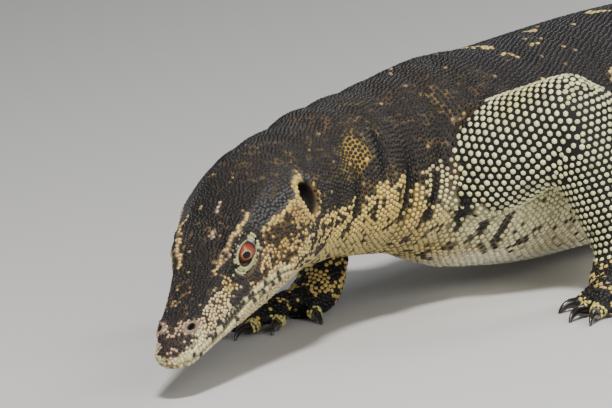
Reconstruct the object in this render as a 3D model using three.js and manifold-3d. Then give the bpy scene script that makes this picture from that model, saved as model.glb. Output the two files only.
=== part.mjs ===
// A life-size still model of a water monitor lizard, walking with its head lowered.
// Millimetres, +Z up. The lizard faces -Y and its left side is +X. All four soles and the tail
// rest on the plane z = 0, and the origin is below the middle of the whole model.
import * as THREE from "three";
import { mergeVertices } from "three/addons/utils/BufferGeometryUtils.js";
import Module from "manifold-3d";

const wasm = await Module();
wasm.setup();

// Driving dimensions
const JOINT_GAP = 0.3;
const SOLE_SINK = 0.9;
const HEAD_END = 138;
const SHOULDER_AT = 280;
const TAIL_AT = 715;
const TAIL_END = 1770;
const LINE_STEP = 2.5;
const EYE_RADIUS = 6.6;

// The body's sections, from the snout back: distance behind the snout tip, half width, height
// above and depth below the body's line, squareness of the section, height of the line over
// the floor, and heading, in degrees towards the lizard's left.
const SECTIONS = [
  { place: "snout tip", at: 0, wide: 3.5, high: 3, deep: 2.5, square: 2.0, line: 18.7, yaw: 19.5 },
  { place: "rostral", at: 6, wide: 9.4, high: 8, deep: 5.7, square: 2.2, line: 20.8, yaw: 19.5 },
  { place: "nostrils", at: 19, wide: 12.8, high: 12.8, deep: 8.2, square: 2.5, line: 25.6, yaw: 19.5 },
  { place: "mid snout", at: 45, wide: 17.4, high: 18.2, deep: 13, square: 2.7, line: 35, yaw: 19.5 },
  { place: "eyes", at: 78, wide: 25.2, high: 29, deep: 18.6, square: 2.7, line: 47, yaw: 19.5 },
  { place: "jaw muscles", at: 108, wide: 31.8, high: 32.6, deep: 25, square: 2.5, line: 59.9, yaw: 19.5 },
  { place: "ears", at: 128, wide: 33.6, high: 34, deep: 29, square: 2.3, line: 68, yaw: 18.5 },
  { place: "nape", at: 162, wide: 37, high: 34.5, deep: 33.5, square: 2.1, line: 73.9, yaw: 9 },
  { place: "neck", at: 195, wide: 41, high: 40, deep: 39.5, square: 2.0, line: 75.8, yaw: 2 },
  { place: "gular fold", at: 232, wide: 47, high: 44, deep: 45, square: 2.0, line: 75.5, yaw: 0 },
  { place: "shoulders", at: 280, wide: 60, high: 54, deep: 57, square: 2.1, line: 71.5, yaw: 0 },
  { place: "chest", at: 335, wide: 69, high: 58, deep: 59.5, square: 2.1, line: 66.5, yaw: 0 },
  { place: "belly", at: 440, wide: 77, high: 61.5, deep: 60, square: 2.1, line: 66, yaw: 0 },
  { place: "loins", at: 550, wide: 74, high: 58, deep: 57, square: 2.1, line: 63, yaw: 4 },
  { place: "hips", at: 635, wide: 56, high: 50, deep: 44, square: 2.1, line: 57, yaw: 5 },
  { place: "tail root", at: TAIL_AT, wide: 38, high: 43, deep: 34, square: 2.0, line: 42, yaw: 3 },
];
const TAIL_ROOT = SECTIONS.at(-1);

// The tail: a long taper, flattened from side to side, which lies on the floor.
const TAIL = { thin: 0.95, tipWide: 1.4, tipHigh: 2.2, comesDown: 95, swing: 13, waves: 1.15 };

// Swellings and folds: where along the body, how high round the side in degrees, and how far
// out. Each is on both sides.
const FORMS = [
  { place: "brow ridge", at: 77, long: 15, rise: 57, spread: 10, out: 2.8 },
  { place: "snout ridge", at: 45, long: 22, rise: 56, spread: 9, out: 1.3 },
  { place: "side of the snout", at: 55, long: 20, rise: 30, spread: 12, out: -1.4 },
  { place: "eye hollow", at: 74, long: 11, rise: 28, spread: 14, out: -2.2 },
  { place: "nostril swelling", at: 17, long: 6.5, rise: 54, spread: 17, out: 1.8 },
  { place: "upper lip", at: 46, long: 38, rise: 10, spread: 6, out: 1.0 },
  { place: "lower lip", at: 46, long: 38, rise: -14, spread: 7, out: 0.9 },
  { place: "jaw muscle", at: 108, long: 13, rise: 2, spread: 24, out: 3.0 },
  { place: "ear rim", at: 117.5, long: 5, rise: 21, spread: 15, out: 1.6 },
  { place: "ear hollow", at: 130, long: 7, rise: 17, spread: 15, out: -3.0 },
  { place: "throat pouch", at: 150, long: 26, rise: -75, spread: 40, out: 3.5 },
  { place: "neck fold", at: 214, long: 7, rise: -8, spread: 42, out: -4.5 },
  { place: "neck bulge", at: 198, long: 12, rise: 5, spread: 40, out: 2.5 },
  { place: "shoulder fold", at: 246, long: 6, rise: -20, spread: 45, out: -4.0 },
];

const wave = (rows, key) => smoothTrack(rows.map((row) => [row.at, row[key]]));

// A smooth curve through the pairs [x, y] that never swings past them.
function smoothTrack(pairs) {
  const x = pairs.map((pair) => pair[0]);
  const y = pairs.map((pair) => pair[1]);
  const last = x.length - 1;
  const rise = x.slice(1).map((value, i) => (y[i + 1] - y[i]) / (value - x[i]));
  const slope = x.map((_, i) => {
    if (i === 0) return rise[0];
    if (i === last) return rise[last - 1];
    if (rise[i - 1] * rise[i] <= 0) return 0;
    const before = x[i] - x[i - 1];
    const after = x[i + 1] - x[i];
    const first = 2 * after + before;
    const second = after + 2 * before;
    return (first + second) / (first / rise[i - 1] + second / rise[i]);
  });
  return (at) => {
    const here = Math.min(Math.max(at, x[0]), x[last]);
    let i = 0;
    while (i < last - 1 && here > x[i + 1]) i += 1;
    const width = x[i + 1] - x[i];
    const t = (here - x[i]) / width;
    const start = (1 + 2 * t) * (1 - t) ** 2 * y[i] + t * (1 - t) ** 2 * width * slope[i];
    return start + t * t * (3 - 2 * t) * y[i + 1] - t * t * (1 - t) * width * slope[i + 1];
  };
}

const frontWide = wave(SECTIONS, "wide");
const frontHigh = wave(SECTIONS, "high");
const frontDeep = wave(SECTIONS, "deep");
const squareness = wave(SECTIONS, "square");
const frontLine = wave(SECTIONS, "line");
const frontYaw = wave(SECTIONS, "yaw");

const tailShare = (at) => Math.max(0, (at - TAIL_AT) / (TAIL_END - TAIL_AT));
const tailTaper = (root, tip, at, power) =>
  tip + (root - tip) * Math.max(0, 1 - tailShare(at)) ** power;

const halfWidth = (at) =>
  at < TAIL_AT ? frontWide(at) : tailTaper(TAIL_ROOT.wide, TAIL.tipWide, at, 1.35);
const heightAbove = (at) =>
  at < TAIL_AT ? frontHigh(at) : tailTaper(TAIL_ROOT.high, TAIL.tipHigh, at, TAIL.thin);
const depthBelow = (at) =>
  at < TAIL_AT ? frontDeep(at) : tailTaper(TAIL_ROOT.deep, TAIL.tipHigh, at, 1.1);

// The tail comes down to the floor over its first stretch and then lies on it.
function lineHeight(at) {
  if (at < TAIL_AT) return frontLine(at);
  const lying = depthBelow(at) - SOLE_SINK;
  const left = Math.max(0, 1 - (at - TAIL_AT) / TAIL.comesDown);
  return lying + (TAIL_ROOT.line - TAIL_ROOT.deep + SOLE_SINK) * left * left;
}

function heading(at) {
  if (at < TAIL_AT) return frontYaw(at);
  const along = tailShare(at);
  return frontYaw(TAIL_AT) + TAIL.swing * Math.sin(2 * Math.PI * TAIL.waves * along);
}

// The body's line, found by walking from the shoulders both ways along the heading.
function walkLine() {
  const count = Math.round(TAIL_END / LINE_STEP);
  const start = Math.round(SHOULDER_AT / LINE_STEP);
  const points = [];
  points[start] = new THREE.Vector3(0, 0, lineHeight(SHOULDER_AT));
  const step = (from, to) => {
    const middle = THREE.MathUtils.degToRad(heading(((from + to) / 2) * LINE_STEP));
    const rise = lineHeight(to * LINE_STEP) - lineHeight(from * LINE_STEP);
    const run = Math.sqrt(Math.max(0, LINE_STEP ** 2 - rise ** 2)) * Math.sign(to - from);
    const next = points[from].clone();
    next.x -= run * Math.sin(middle);
    next.y += run * Math.cos(middle);
    next.z = lineHeight(to * LINE_STEP);
    points[to] = next;
  };
  for (let i = start; i > 0; i -= 1) step(i, i - 1);
  for (let i = start; i < count; i += 1) step(i, i + 1);
  return points;
}
const LINE = walkLine();

function linePoint(at) {
  const place = Math.min(Math.max(at / LINE_STEP, 0), LINE.length - 1.001);
  const i = Math.floor(place);
  return LINE[i].clone().lerp(LINE[i + 1], place - i);
}

// The axes of the section at a distance behind the snout: back, left and up.
function sectionAxes(at) {
  const reach = 4;
  const back = linePoint(at + reach).sub(linePoint(Math.max(0, at - reach))).normalize();
  const left = back.clone().cross(new THREE.Vector3(0, 0, 1)).normalize();
  const up = left.clone().cross(back).normalize();
  return { back, left, up };
}

const roundPower = (value, power) => Math.sign(value) * Math.abs(value) ** power;

// How far the swellings and folds move the surface out, at an angle round the section.
function formsOut(at, angle) {
  const side = THREE.MathUtils.radToDeg(Math.asin(Math.sin(angle)));
  let out = 0;
  for (const form of FORMS) {
    const along = (at - form.at) / form.long;
    const round = (side - form.rise) / form.spread;
    const reach = along * along + round * round;
    if (reach < 9) out += form.out * Math.exp(-reach);
  }
  return out;
}

// The tail's low double keel along its top.
function keelOut(at, angle) {
  const from = TAIL_AT + 40;
  if (at < from) return 0;
  const grown = Math.min(1, (at - from) / 120) * Math.min(1, (TAIL_END - at) / 300);
  const off = (angle - Math.PI / 2) / 0.16;
  return 2.6 * grown * Math.exp(-off * off);
}

// A point on the body at a distance behind the snout and an angle: 0 is the left, 90 the top.
function bodyPoint(at, angle, grow = 0) {
  const { left, up } = sectionAxes(at);
  const power = 2 / squareness(at);
  const above = Math.sin(angle) >= 0;
  const high = above ? heightAbove(at) : depthBelow(at);
  let x = halfWidth(at) * roundPower(Math.cos(angle), power);
  let y = high * roundPower(Math.sin(angle), power);
  const length = Math.hypot(x, y);
  const swell = (length + formsOut(at, angle) + keelOut(at, angle) + grow) / length;
  x *= swell;
  y *= swell;
  return linePoint(at).addScaledVector(left, x).addScaledVector(up, y);
}

// Solids and meshes
function toSolid(geometry) {
  const bare = geometry.clone();
  bare.deleteAttribute("normal");
  bare.deleteAttribute("uv");
  const merged = mergeVertices(bare, 1e-4);
  const triVerts = new Uint32Array(merged.index.array);
  const vertProperties = new Float32Array(merged.attributes.position.array);
  const solid = new wasm.Manifold(new wasm.Mesh({ numProp: 3, vertProperties, triVerts }));
  if (solid.volume() > 0) return solid;
  for (let i = 0; i < triVerts.length; i += 3) {
    [triVerts[i + 1], triVerts[i + 2]] = [triVerts[i + 2], triVerts[i + 1]];
  }
  return new wasm.Manifold(new wasm.Mesh({ numProp: 3, vertProperties, triVerts }));
}

function toGeometry(solid) {
  const mesh = solid.getMesh();
  const position = new Float32Array(mesh.numVert * 3);
  for (let i = 0; i < mesh.numVert; i += 1) {
    const from = i * mesh.numProp;
    position.set(mesh.vertProperties.subarray(from, from + 3), i * 3);
  }
  const geometry = new THREE.BufferGeometry();
  geometry.setAttribute("position", new THREE.BufferAttribute(position, 3));
  geometry.setIndex(new THREE.BufferAttribute(new Uint32Array(mesh.triVerts), 1));
  geometry.computeVertexNormals();
  return geometry;
}

// A closed solid through rings of points, with each end fanned to its middle.
function ringSolid(rings) {
  const count = rings[0].length;
  const position = [];
  const index = [];
  for (const ring of rings) for (const point of ring) position.push(point.x, point.y, point.z);
  for (let r = 0; r < rings.length - 1; r += 1) {
    for (let i = 0; i < count; i += 1) {
      const a = r * count + i;
      const b = r * count + ((i + 1) % count);
      index.push(a, b, a + count, b, b + count, a + count);
    }
  }
  for (const [r, order] of [[0, 1], [rings.length - 1, -1]]) {
    const middle = rings[r].reduce((sum, point) => sum.add(point), new THREE.Vector3());
    middle.divideScalar(count);
    const centre = position.length / 3;
    position.push(middle.x, middle.y, middle.z);
    for (let i = 0; i < count; i += 1) {
      const a = r * count + i;
      const b = r * count + ((i + 1) % count);
      if (order > 0) index.push(a, centre, b);
      else index.push(a, b, centre);
    }
  }
  const geometry = new THREE.BufferGeometry();
  geometry.setAttribute("position", new THREE.Float32BufferAttribute(position, 3));
  geometry.setIndex(index);
  return toSolid(geometry);
}

const FLOOR_BLOCK = (() => {
  const block = new THREE.BoxGeometry(4000, 4000, 100);
  block.translate(0, 500, -50);
  return toSolid(block);
})();

const largestPiece = (solid) =>
  solid.decompose().reduce((best, piece) => (piece.volume() > best.volume() ? piece : best));

const onFloor = (solid) => largestPiece(solid.subtract(FLOOR_BLOCK));

function bodyLength(from, to, spacing, sides, grow = 0) {
  const count = Math.max(1, Math.round((to - from) / spacing));
  const rings = [];
  for (let r = 0; r <= count; r += 1) {
    const at = from + ((to - from) * r) / count;
    const ring = [];
    for (let i = 0; i < sides; i += 1) {
      ring.push(bodyPoint(at, ((i + 0.5) / sides) * 2 * Math.PI, grow));
    }
    rings.push(ring);
  }
  return ringSolid(rings);
}

// Materials
const finish = (color, roughness) =>
  new THREE.MeshStandardMaterial({ color, roughness, metalness: 0 });
const BACK_SKIN = finish(0x2c2926, 0.55);
const SIDE_SKIN = finish(0x6a6149, 0.6);
const CLAW_HORN = finish(0x17150f, 0.3);
const EYE_GLOSS = finish(0x8a3d22, 0.08);

const lizard = new THREE.Group();

function addNode(name, solid, material) {
  const mesh = new THREE.Mesh(toGeometry(solid), material);
  mesh.name = name;
  lizard.add(mesh);
  return solid;
}

// Head

// The head's own frame: x back from the snout tip, y to the left and z up.
const headAxes = sectionAxes(60);
const headFrame = new THREE.Matrix4()
  .makeBasis(headAxes.back, headAxes.left.clone().negate(), headAxes.up)
  .setPosition(linePoint(0));

const headPoint = (x, y, z) => new THREE.Vector3(x, -y, z).applyMatrix4(headFrame);

const EYE = { at: 75, rise: 38, sunk: 4.2 };
const LID = { ring: 6.1, thick: 1.7, proud: 1.5 };
const NOSTRIL = { at: 16.5, rise: 54, long: 3.0, tall: 2.0, sunk: 3.2 };
const EAR = { at: 126.5, rise: 18, long: 5.2, tall: 8.6, sunk: 5, lean: 14 };

// The place of a feature on one side of the head, and the way out of the surface there.
function headPlace(at, rise, side) {
  const angle = THREE.MathUtils.degToRad(side > 0 ? rise : 180 - rise);
  const point = bodyPoint(at, angle);
  const along = bodyPoint(at + 4, angle).sub(bodyPoint(at - 4, angle));
  const round = bodyPoint(at, angle + 0.12).sub(bodyPoint(at, angle - 0.12));
  const out = along.clone().cross(round).normalize();
  const from = point.clone().sub(linePoint(at));
  if (out.dot(from) < 0) out.negate();
  return { point, out, along: along.normalize() };
}

function turnedTo(place, lean = 0) {
  const z = place.out.clone();
  const x = place.along.clone().addScaledVector(z, -place.along.dot(z)).normalize();
  const y = z.clone().cross(x);
  return new THREE.Matrix4()
    .makeBasis(x, y, z)
    .setPosition(place.point)
    .multiply(new THREE.Matrix4().makeRotationZ(THREE.MathUtils.degToRad(lean)));
}

function eyeMiddle(side) {
  const place = headPlace(EYE.at, EYE.rise, side);
  return place.point.clone().addScaledVector(place.out, -EYE.sunk);
}

function eyeBall(side, radius) {
  const ball = new THREE.SphereGeometry(radius, 14, 10);
  ball.translate(...eyeMiddle(side).toArray());
  return toSolid(ball);
}

// The two lids, as one low oval ring that the eyeball sits in.
function lidRing(side) {
  const place = headPlace(EYE.at, EYE.rise, side);
  const ring = new THREE.TorusGeometry(LID.ring, LID.thick, 7, 20);
  ring.scale(1.08, 0.96, 1);
  place.point.addScaledVector(place.out, LID.proud - LID.thick);
  ring.applyMatrix4(turnedTo(place));
  return toSolid(ring);
}

function pit(feature, side) {
  const place = headPlace(feature.at, feature.rise, side);
  const hollow = new THREE.SphereGeometry(1, 12, 8);
  hollow.scale(feature.long, feature.tall, feature.sunk);
  hollow.applyMatrix4(turnedTo(place, side * (feature.lean ?? 0)));
  return toSolid(hollow);
}

// The mouth: a thin cut along the lips, which turns down behind the corner of the mouth.
function mouthCut() {
  const thin = 0.45;
  const lips = [
    [-6, -0.6],
    [6, -1.2],
    [30, -2.2],
    [60, -1.0],
    [86, -3.4],
    [99, -12],
    [112, -44],
  ];
  const edge = [
    ...lips.map(([x, z]) => new THREE.Vector2(x, z)),
    ...lips.toReversed().map(([x, z], i) => new THREE.Vector2(x - (i < 2 ? thin : 0), z - thin)),
  ];
  const slab = new THREE.ExtrudeGeometry(new THREE.Shape(edge), { depth: 120, bevelEnabled: false });
  slab.rotateX(Math.PI / 2);
  slab.translate(0, 60, 0);
  slab.applyMatrix4(headFrame);
  return toSolid(slab);
}

function addHead() {
  const sides = 32;
  let head = bodyLength(0, HEAD_END, 4.8, sides);
  for (const side of [1, -1]) head = head.add(lidRing(side));
  for (const side of [1, -1]) {
    head = head.subtract(eyeBall(side, EYE_RADIUS + JOINT_GAP));
    head = head.subtract(pit(NOSTRIL, side)).subtract(pit(EAR, side));
  }
  const pieces = head.subtract(mouthCut()).decompose();
  pieces.sort((a, b) => b.volume() - a.volume());
  addNode("head", pieces[0], BACK_SKIN);
  addNode("lower_jaw", pieces[1], SIDE_SKIN);
  addNode("eye_left", eyeBall(1, EYE_RADIUS), EYE_GLOSS);
  addNode("eye_right", eyeBall(-1, EYE_RADIUS), EYE_GLOSS);
}

// Neck, torso and tail, each a length of the body
const LENGTHS = [
  { name: "neck", to: 240, spacing: 9, sides: 28 },
  { name: "chest", to: 345, spacing: 16, sides: 28 },
  { name: "belly", to: 545, spacing: 28, sides: 28 },
  { name: "hips", to: TAIL_AT, spacing: 22, sides: 28 },
  { name: "tail_1", to: 915, spacing: 25, sides: 20 },
  { name: "tail_2", to: 1130, spacing: 30, sides: 16 },
  { name: "tail_3", to: 1350, spacing: 35, sides: 16 },
  { name: "tail_4", to: 1570, spacing: 40, sides: 12 },
  { name: "tail_5", to: TAIL_END, spacing: 40, sides: 12 },
];

function addLengths() {
  let from = HEAD_END;
  for (const length of LENGTHS) {
    const solid = bodyLength(from + JOINT_GAP, length.to, length.spacing, length.sides);
    addNode(length.name, onFloor(solid), BACK_SKIN);
    from = length.to;
  }
}

// Legs

// A bone's flesh: a tube between two joints with round ends. Each row is a share of the way
// along, the half width across the bend and the half width in the plane of the bend.
function fleshTube(start, end, side, rows, grow = 0, sides = 11) {
  const along = end.clone().sub(start);
  const length = along.length();
  along.normalize();
  const across = side.clone().addScaledVector(along, -side.dot(along)).normalize();
  const flat = across.clone().cross(along);
  const wide = smoothTrack(rows.map((row) => [row[0], row[1]]));
  const thick = smoothTrack(rows.map((row) => [row[0], row[2]]));
  const rings = [];
  const addRing = (share, offset, size) => {
    const centre = start.clone().addScaledVector(along, share * length + offset);
    const ring = [];
    for (let i = 0; i < sides; i += 1) {
      const angle = (i / sides) * 2 * Math.PI;
      const a = (wide(share) + grow) * size * Math.cos(angle);
      const b = (thick(share) + grow) * size * Math.sin(angle);
      ring.push(centre.clone().addScaledVector(across, a).addScaledVector(flat, b));
    }
    rings.push(ring);
  };
  const cap = [0.15, 0.5, 0.85];
  for (const size of cap) {
    addRing(0, -(wide(0) + grow) * 0.8 * Math.sqrt(1 - size * size), size);
  }
  const steps = 6;
  for (let i = 0; i <= steps; i += 1) addRing(i / steps, 0, 1);
  for (const size of cap.toReversed()) {
    addRing(1, (wide(1) + grow) * 0.8 * Math.sqrt(1 - size * size), size);
  }
  return ringSolid(rings);
}

const FORE = {
  upper: [[0, 27, 30], [0.35, 27, 29], [0.7, 24, 26], [1, 21, 23]],
  lower: [[0, 20, 23], [0.3, 22, 24], [0.7, 17, 18], [1, 12.5, 15]],
  palm: { long: 30, wide: 17, high: 10, heel: 8 },
  digits: [
    { long: 24, spread: 52, out: 10, back: 8 },
    { long: 33, spread: 26, out: 9, back: 2 },
    { long: 39, spread: 4, out: 2, back: 0 },
    { long: 38, spread: -18, out: -6, back: 1 },
    { long: 28, spread: -46, out: -11, back: 7 },
  ],
  digitRadius: 6.0,
  claw: 19,
};
const HIND = {
  upper: [[0, 32, 38], [0.35, 32, 36], [0.7, 27, 30], [1, 23, 25]],
  lower: [[0, 22, 25], [0.3, 23, 27], [0.7, 17, 19], [1, 13, 15.5]],
  palm: { long: 50, wide: 18, high: 11, heel: 10 },
  digits: [
    { long: 24, spread: 40, out: 12, back: 16 },
    { long: 38, spread: 20, out: 9, back: 5 },
    { long: 50, spread: 5, out: 3, back: 0 },
    { long: 58, spread: -11, out: -5, back: 2 },
    { long: 34, spread: -44, out: -13, back: 18 },
  ],
  digitRadius: 6.4,
  claw: 19,
};

// Where each leg's joints are, with the way that its toes point, in degrees to the left.
const LEGS = [
  {
    name: "fore_left", side: 1, kind: FORE, toes: 30,
    root: [40, -18, 70], bend: [98, 2, 95], end: [111, 9, 29],
  },
  {
    name: "fore_right", side: -1, kind: FORE, toes: 5,
    root: [-38, -18, 64], bend: [-96, -22, 70], end: [-45, -47, 27],
  },
  {
    name: "hind_left", side: 1, kind: HIND, toes: 24,
    root: [-22, 348, 58], bend: [72, 292, 70], end: [92, 352, 27],
  },
  {
    name: "hind_right", side: -1, kind: HIND, toes: -42,
    root: [-62, 362, 58], bend: [-150, 372, 66], end: [-158, 452, 27],
  },
];

const vector = (values) => new THREE.Vector3(...values);

const flatWay = (degrees) => {
  const turn = THREE.MathUtils.degToRad(degrees);
  return new THREE.Vector3(Math.sin(turn), -Math.cos(turn), 0);
};

// A ring across a path that runs in an upright plane.
function pathRing(centre, forward, wide, high, sides) {
  const across = new THREE.Vector3(0, 0, 1).cross(forward).normalize();
  const up = forward.clone().cross(across).normalize();
  const ring = [];
  for (let i = 0; i < sides; i += 1) {
    const angle = ((i + 0.5) / sides) * 2 * Math.PI;
    ring.push(
      centre
        .clone()
        .addScaledVector(across, wide * Math.cos(angle))
        .addScaledVector(up, high * Math.sin(angle)),
    );
  }
  return ring;
}

// The palm: a low wedge from the wrist down to the knuckles, flat on the floor from this share on.
const SOLE_FROM = 0.55;
function palmSolid(leg, grow = 0) {
  const { long, wide, high, heel } = leg.kind.palm;
  const way = flatWay(leg.toes);
  const wrist = vector(leg.end);
  const rings = [];
  const steps = 7;
  for (let i = 0; i <= steps; i += 1) {
    const share = i / steps;
    const reach = -heel + (long + heel) * share;
    const swell = Math.sin(Math.PI * Math.min(1, 0.2 + share * 0.75)) ** 0.5;
    const centre = wrist.clone().addScaledVector(way, reach);
    const tall = (high + 5 * (1 - share)) * swell;
    const offFloor = Math.max(0, 1 - share / SOLE_FROM) ** 1.6;
    centre.z = tall - SOLE_SINK * 1.3 + (leg.end[2] - tall) * offFloor;
    const size = wide * (0.72 + 0.35 * share) * swell;
    rings.push(pathRing(centre, way, size + grow, tall + grow, 12));
  }
  return ringSolid(rings);
}

// Where a digit's line runs: out from the knuckle, up a little and down to the floor.
function digitLine(leg, digit) {
  const { long: palmLong } = leg.kind.palm;
  const way = flatWay(leg.toes);
  const across = new THREE.Vector3(0, 0, 1).cross(way).negate();
  const start = vector(leg.end)
    .addScaledVector(way, palmLong - digit.back - 9)
    .addScaledVector(across, leg.side * digit.out * -1);
  start.z = 8.5;
  const forward = flatWay(leg.toes - leg.side * digit.spread);
  const radius = leg.kind.digitRadius;
  const rise = (share) =>
    start.z * (1 - share) + (radius * 0.66 - 0.2) * share + 5.2 * Math.sin(Math.PI * share) ** 1.3;
  const point = (share) => {
    const place = start.clone().addScaledVector(forward, (digit.long + 9) * share);
    place.z = rise(share);
    return place;
  };
  return { point, forward, radius };
}

function digitSolid(leg, digit) {
  const { point, radius } = digitLine(leg, digit);
  const steps = 6;
  const rings = [];
  for (let i = 0; i <= steps; i += 1) {
    const share = i / steps;
    const way = point(Math.min(1, share + 0.06)).sub(point(Math.max(0, share - 0.06))).normalize();
    const knuckle = 1 + 0.07 * Math.cos(share * Math.PI * 6);
    const size = radius * (1 - 0.28 * share) * knuckle;
    rings.push(pathRing(point(share), way, size, size * 0.95, 6));
  }
  return ringSolid(rings);
}

// A claw: a hooked cone, flat from side to side, that starts just off the end of its digit.
function clawSolid(leg, digit) {
  const { point, forward, radius } = digitLine(leg, digit);
  const base = radius * 0.68;
  const way = point(1).sub(point(0.94)).normalize();
  const centre = point(1).addScaledVector(way, JOINT_GAP);
  const steps = 6;
  const rings = [];
  const place = centre.clone();
  const startPitch = Math.asin(way.z);
  const long = leg.kind.claw * (0.8 + digit.long / 200);
  const lift = 0.62;
  for (let i = 0; i <= steps; i += 1) {
    const share = i / steps;
    const bend = share < 0.3 ? (share / 0.3) * lift : lift - ((share - 0.3) / 0.7) * 1.75;
    const pitch = startPitch + bend;
    const heading3 = forward.clone().multiplyScalar(Math.cos(pitch));
    heading3.z = Math.sin(pitch);
    const size = base * (1 - share) ** 0.75 + 0.3;
    rings.push(pathRing(place.clone(), heading3, size * 0.62, size * 0.95, 6));
    place.addScaledVector(heading3, long / steps);
  }
  return ringSolid(rings);
}

// The torso a little larger, which the legs are cut with so that they meet it face to face.
function torsoGrown() {
  let from = HEAD_END;
  let grown = null;
  for (const { name, to, spacing, sides } of LENGTHS) {
    const solid = bodyLength(from + JOINT_GAP, to, spacing, sides, JOINT_GAP);
    if (["neck", "chest", "belly", "hips"].includes(name)) grown = grown ? grown.add(solid) : solid;
    from = to;
  }
  return grown;
}
const TORSO_GROWN = torsoGrown();

function addLeg(leg) {
  const [root, bend, end] = [leg.root, leg.bend, leg.end].map(vector);
  const plane = bend.clone().sub(root).cross(end.clone().sub(bend)).normalize();
  const upper = fleshTube(root, bend, plane, leg.kind.upper);
  const lower = fleshTube(bend, end, plane, leg.kind.lower);
  const upperGrown = fleshTube(root, bend, plane, leg.kind.upper, JOINT_GAP);
  const lowerGrown = fleshTube(bend, end, plane, leg.kind.lower, JOINT_GAP);
  const clearOfBody = (solid) => largestPiece(solid.subtract(TORSO_GROWN));
  addNode(leg.name + "_upper", onFloor(clearOfBody(upper)), SIDE_SKIN);
  addNode(leg.name + "_lower", onFloor(clearOfBody(lower.subtract(upperGrown))), SIDE_SKIN);
  let foot = palmSolid(leg);
  for (const digit of leg.kind.digits) foot = foot.add(digitSolid(leg, digit));
  foot = foot.subtract(lowerGrown).subtract(upperGrown);
  addNode(leg.name + "_foot", onFloor(foot), SIDE_SKIN);
  leg.kind.digits.forEach((digit, i) => {
    addNode(`${leg.name}_claw_${i + 1}`, onFloor(clawSolid(leg, digit)), CLAW_HORN);
  });
}

addHead();
addLengths();
LEGS.forEach(addLeg);

// The origin goes below the middle of the whole model.
const whole = new THREE.Box3().setFromObject(lizard);
const middle = whole.getCenter(new THREE.Vector3());
for (const mesh of lizard.children) mesh.geometry.translate(-middle.x, -middle.y, 0);

export default lizard;
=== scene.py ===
"""A life-size water monitor lizard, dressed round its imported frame.

Shapes are worked out in millimetres, as in the part's source, and turned into metres when a
mesh is made. The body's surface is a function of the distance behind the snout and the angle
round the section, and the skin, the scales and the markings all read it.
"""
import math

import bmesh
import bpy
import numpy as np
from mathutils import Matrix, Vector
from mathutils.bvhtree import BVHTree
from mathutils.kdtree import KDTree


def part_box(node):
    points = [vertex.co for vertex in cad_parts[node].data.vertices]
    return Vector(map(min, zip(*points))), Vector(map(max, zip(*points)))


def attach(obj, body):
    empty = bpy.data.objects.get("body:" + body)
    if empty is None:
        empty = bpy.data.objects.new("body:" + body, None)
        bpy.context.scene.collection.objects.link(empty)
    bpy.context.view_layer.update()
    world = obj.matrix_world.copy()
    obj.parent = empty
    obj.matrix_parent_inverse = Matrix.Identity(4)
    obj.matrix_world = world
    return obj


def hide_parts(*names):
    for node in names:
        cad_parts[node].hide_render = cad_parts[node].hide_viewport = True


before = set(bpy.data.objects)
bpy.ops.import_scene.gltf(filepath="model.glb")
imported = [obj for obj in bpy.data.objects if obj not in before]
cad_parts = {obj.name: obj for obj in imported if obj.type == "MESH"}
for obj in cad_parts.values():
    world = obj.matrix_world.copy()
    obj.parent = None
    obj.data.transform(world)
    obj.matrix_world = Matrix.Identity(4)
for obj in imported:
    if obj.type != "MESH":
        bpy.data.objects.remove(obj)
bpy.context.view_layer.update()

MM = 0.001
UP = np.array([0.0, 0.0, 1.0])

# The body's sections: distance behind the snout tip, half width, height above and depth below
# the body's line, squareness, height of the line over the floor, and heading in degrees.
SECTIONS = np.array(
    [
        (0, 3.5, 3, 2.5, 2.0, 18.7, 19.5),  # snout tip
        (6, 9.4, 8, 5.7, 2.2, 20.8, 19.5),  # rostral
        (19, 12.8, 12.8, 8.2, 2.5, 25.6, 19.5),  # nostrils
        (45, 17.4, 18.2, 13, 2.7, 35, 19.5),  # middle of the snout
        (78, 25.2, 29, 18.6, 2.7, 47, 19.5),  # eyes
        (108, 31.8, 32.6, 25, 2.5, 59.9, 19.5),  # jaw muscles
        (128, 33.6, 34, 29, 2.3, 68, 18.5),  # ears
        (162, 37, 34.5, 33.5, 2.1, 73.9, 9),  # nape
        (195, 41, 40, 39.5, 2.0, 75.8, 2),  # neck
        (232, 47, 44, 45, 2.0, 75.5, 0),  # gular fold
        (280, 60, 54, 57, 2.1, 71.5, 0),  # shoulders
        (335, 69, 58, 59.5, 2.1, 66.5, 0),  # chest
        (440, 77, 61.5, 60, 2.1, 66, 0),  # belly
        (550, 74, 58, 57, 2.1, 63, 4),  # loins
        (635, 56, 50, 44, 2.1, 57, 5),  # hips
        (715, 38, 43, 34, 2.0, 42, 3),  # tail root
    ]
)
SHOULDER_AT = 280
TAIL_AT = 715
TAIL_END = 1770
LINE_STEP = 2.5
SOLE_SINK = 0.9
# The tail's swing in degrees, its waves, and the length over which it comes down to the floor.
TAIL_SWING, TAIL_WAVES, TAIL_DROP = 13, 1.15, 95
TAIL_DEEP, TAIL_LINE = SECTIONS[-1, 3], SECTIONS[-1, 5]
KEEL_HIGH, KEEL_WIDE = 2.6, 0.16

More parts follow.
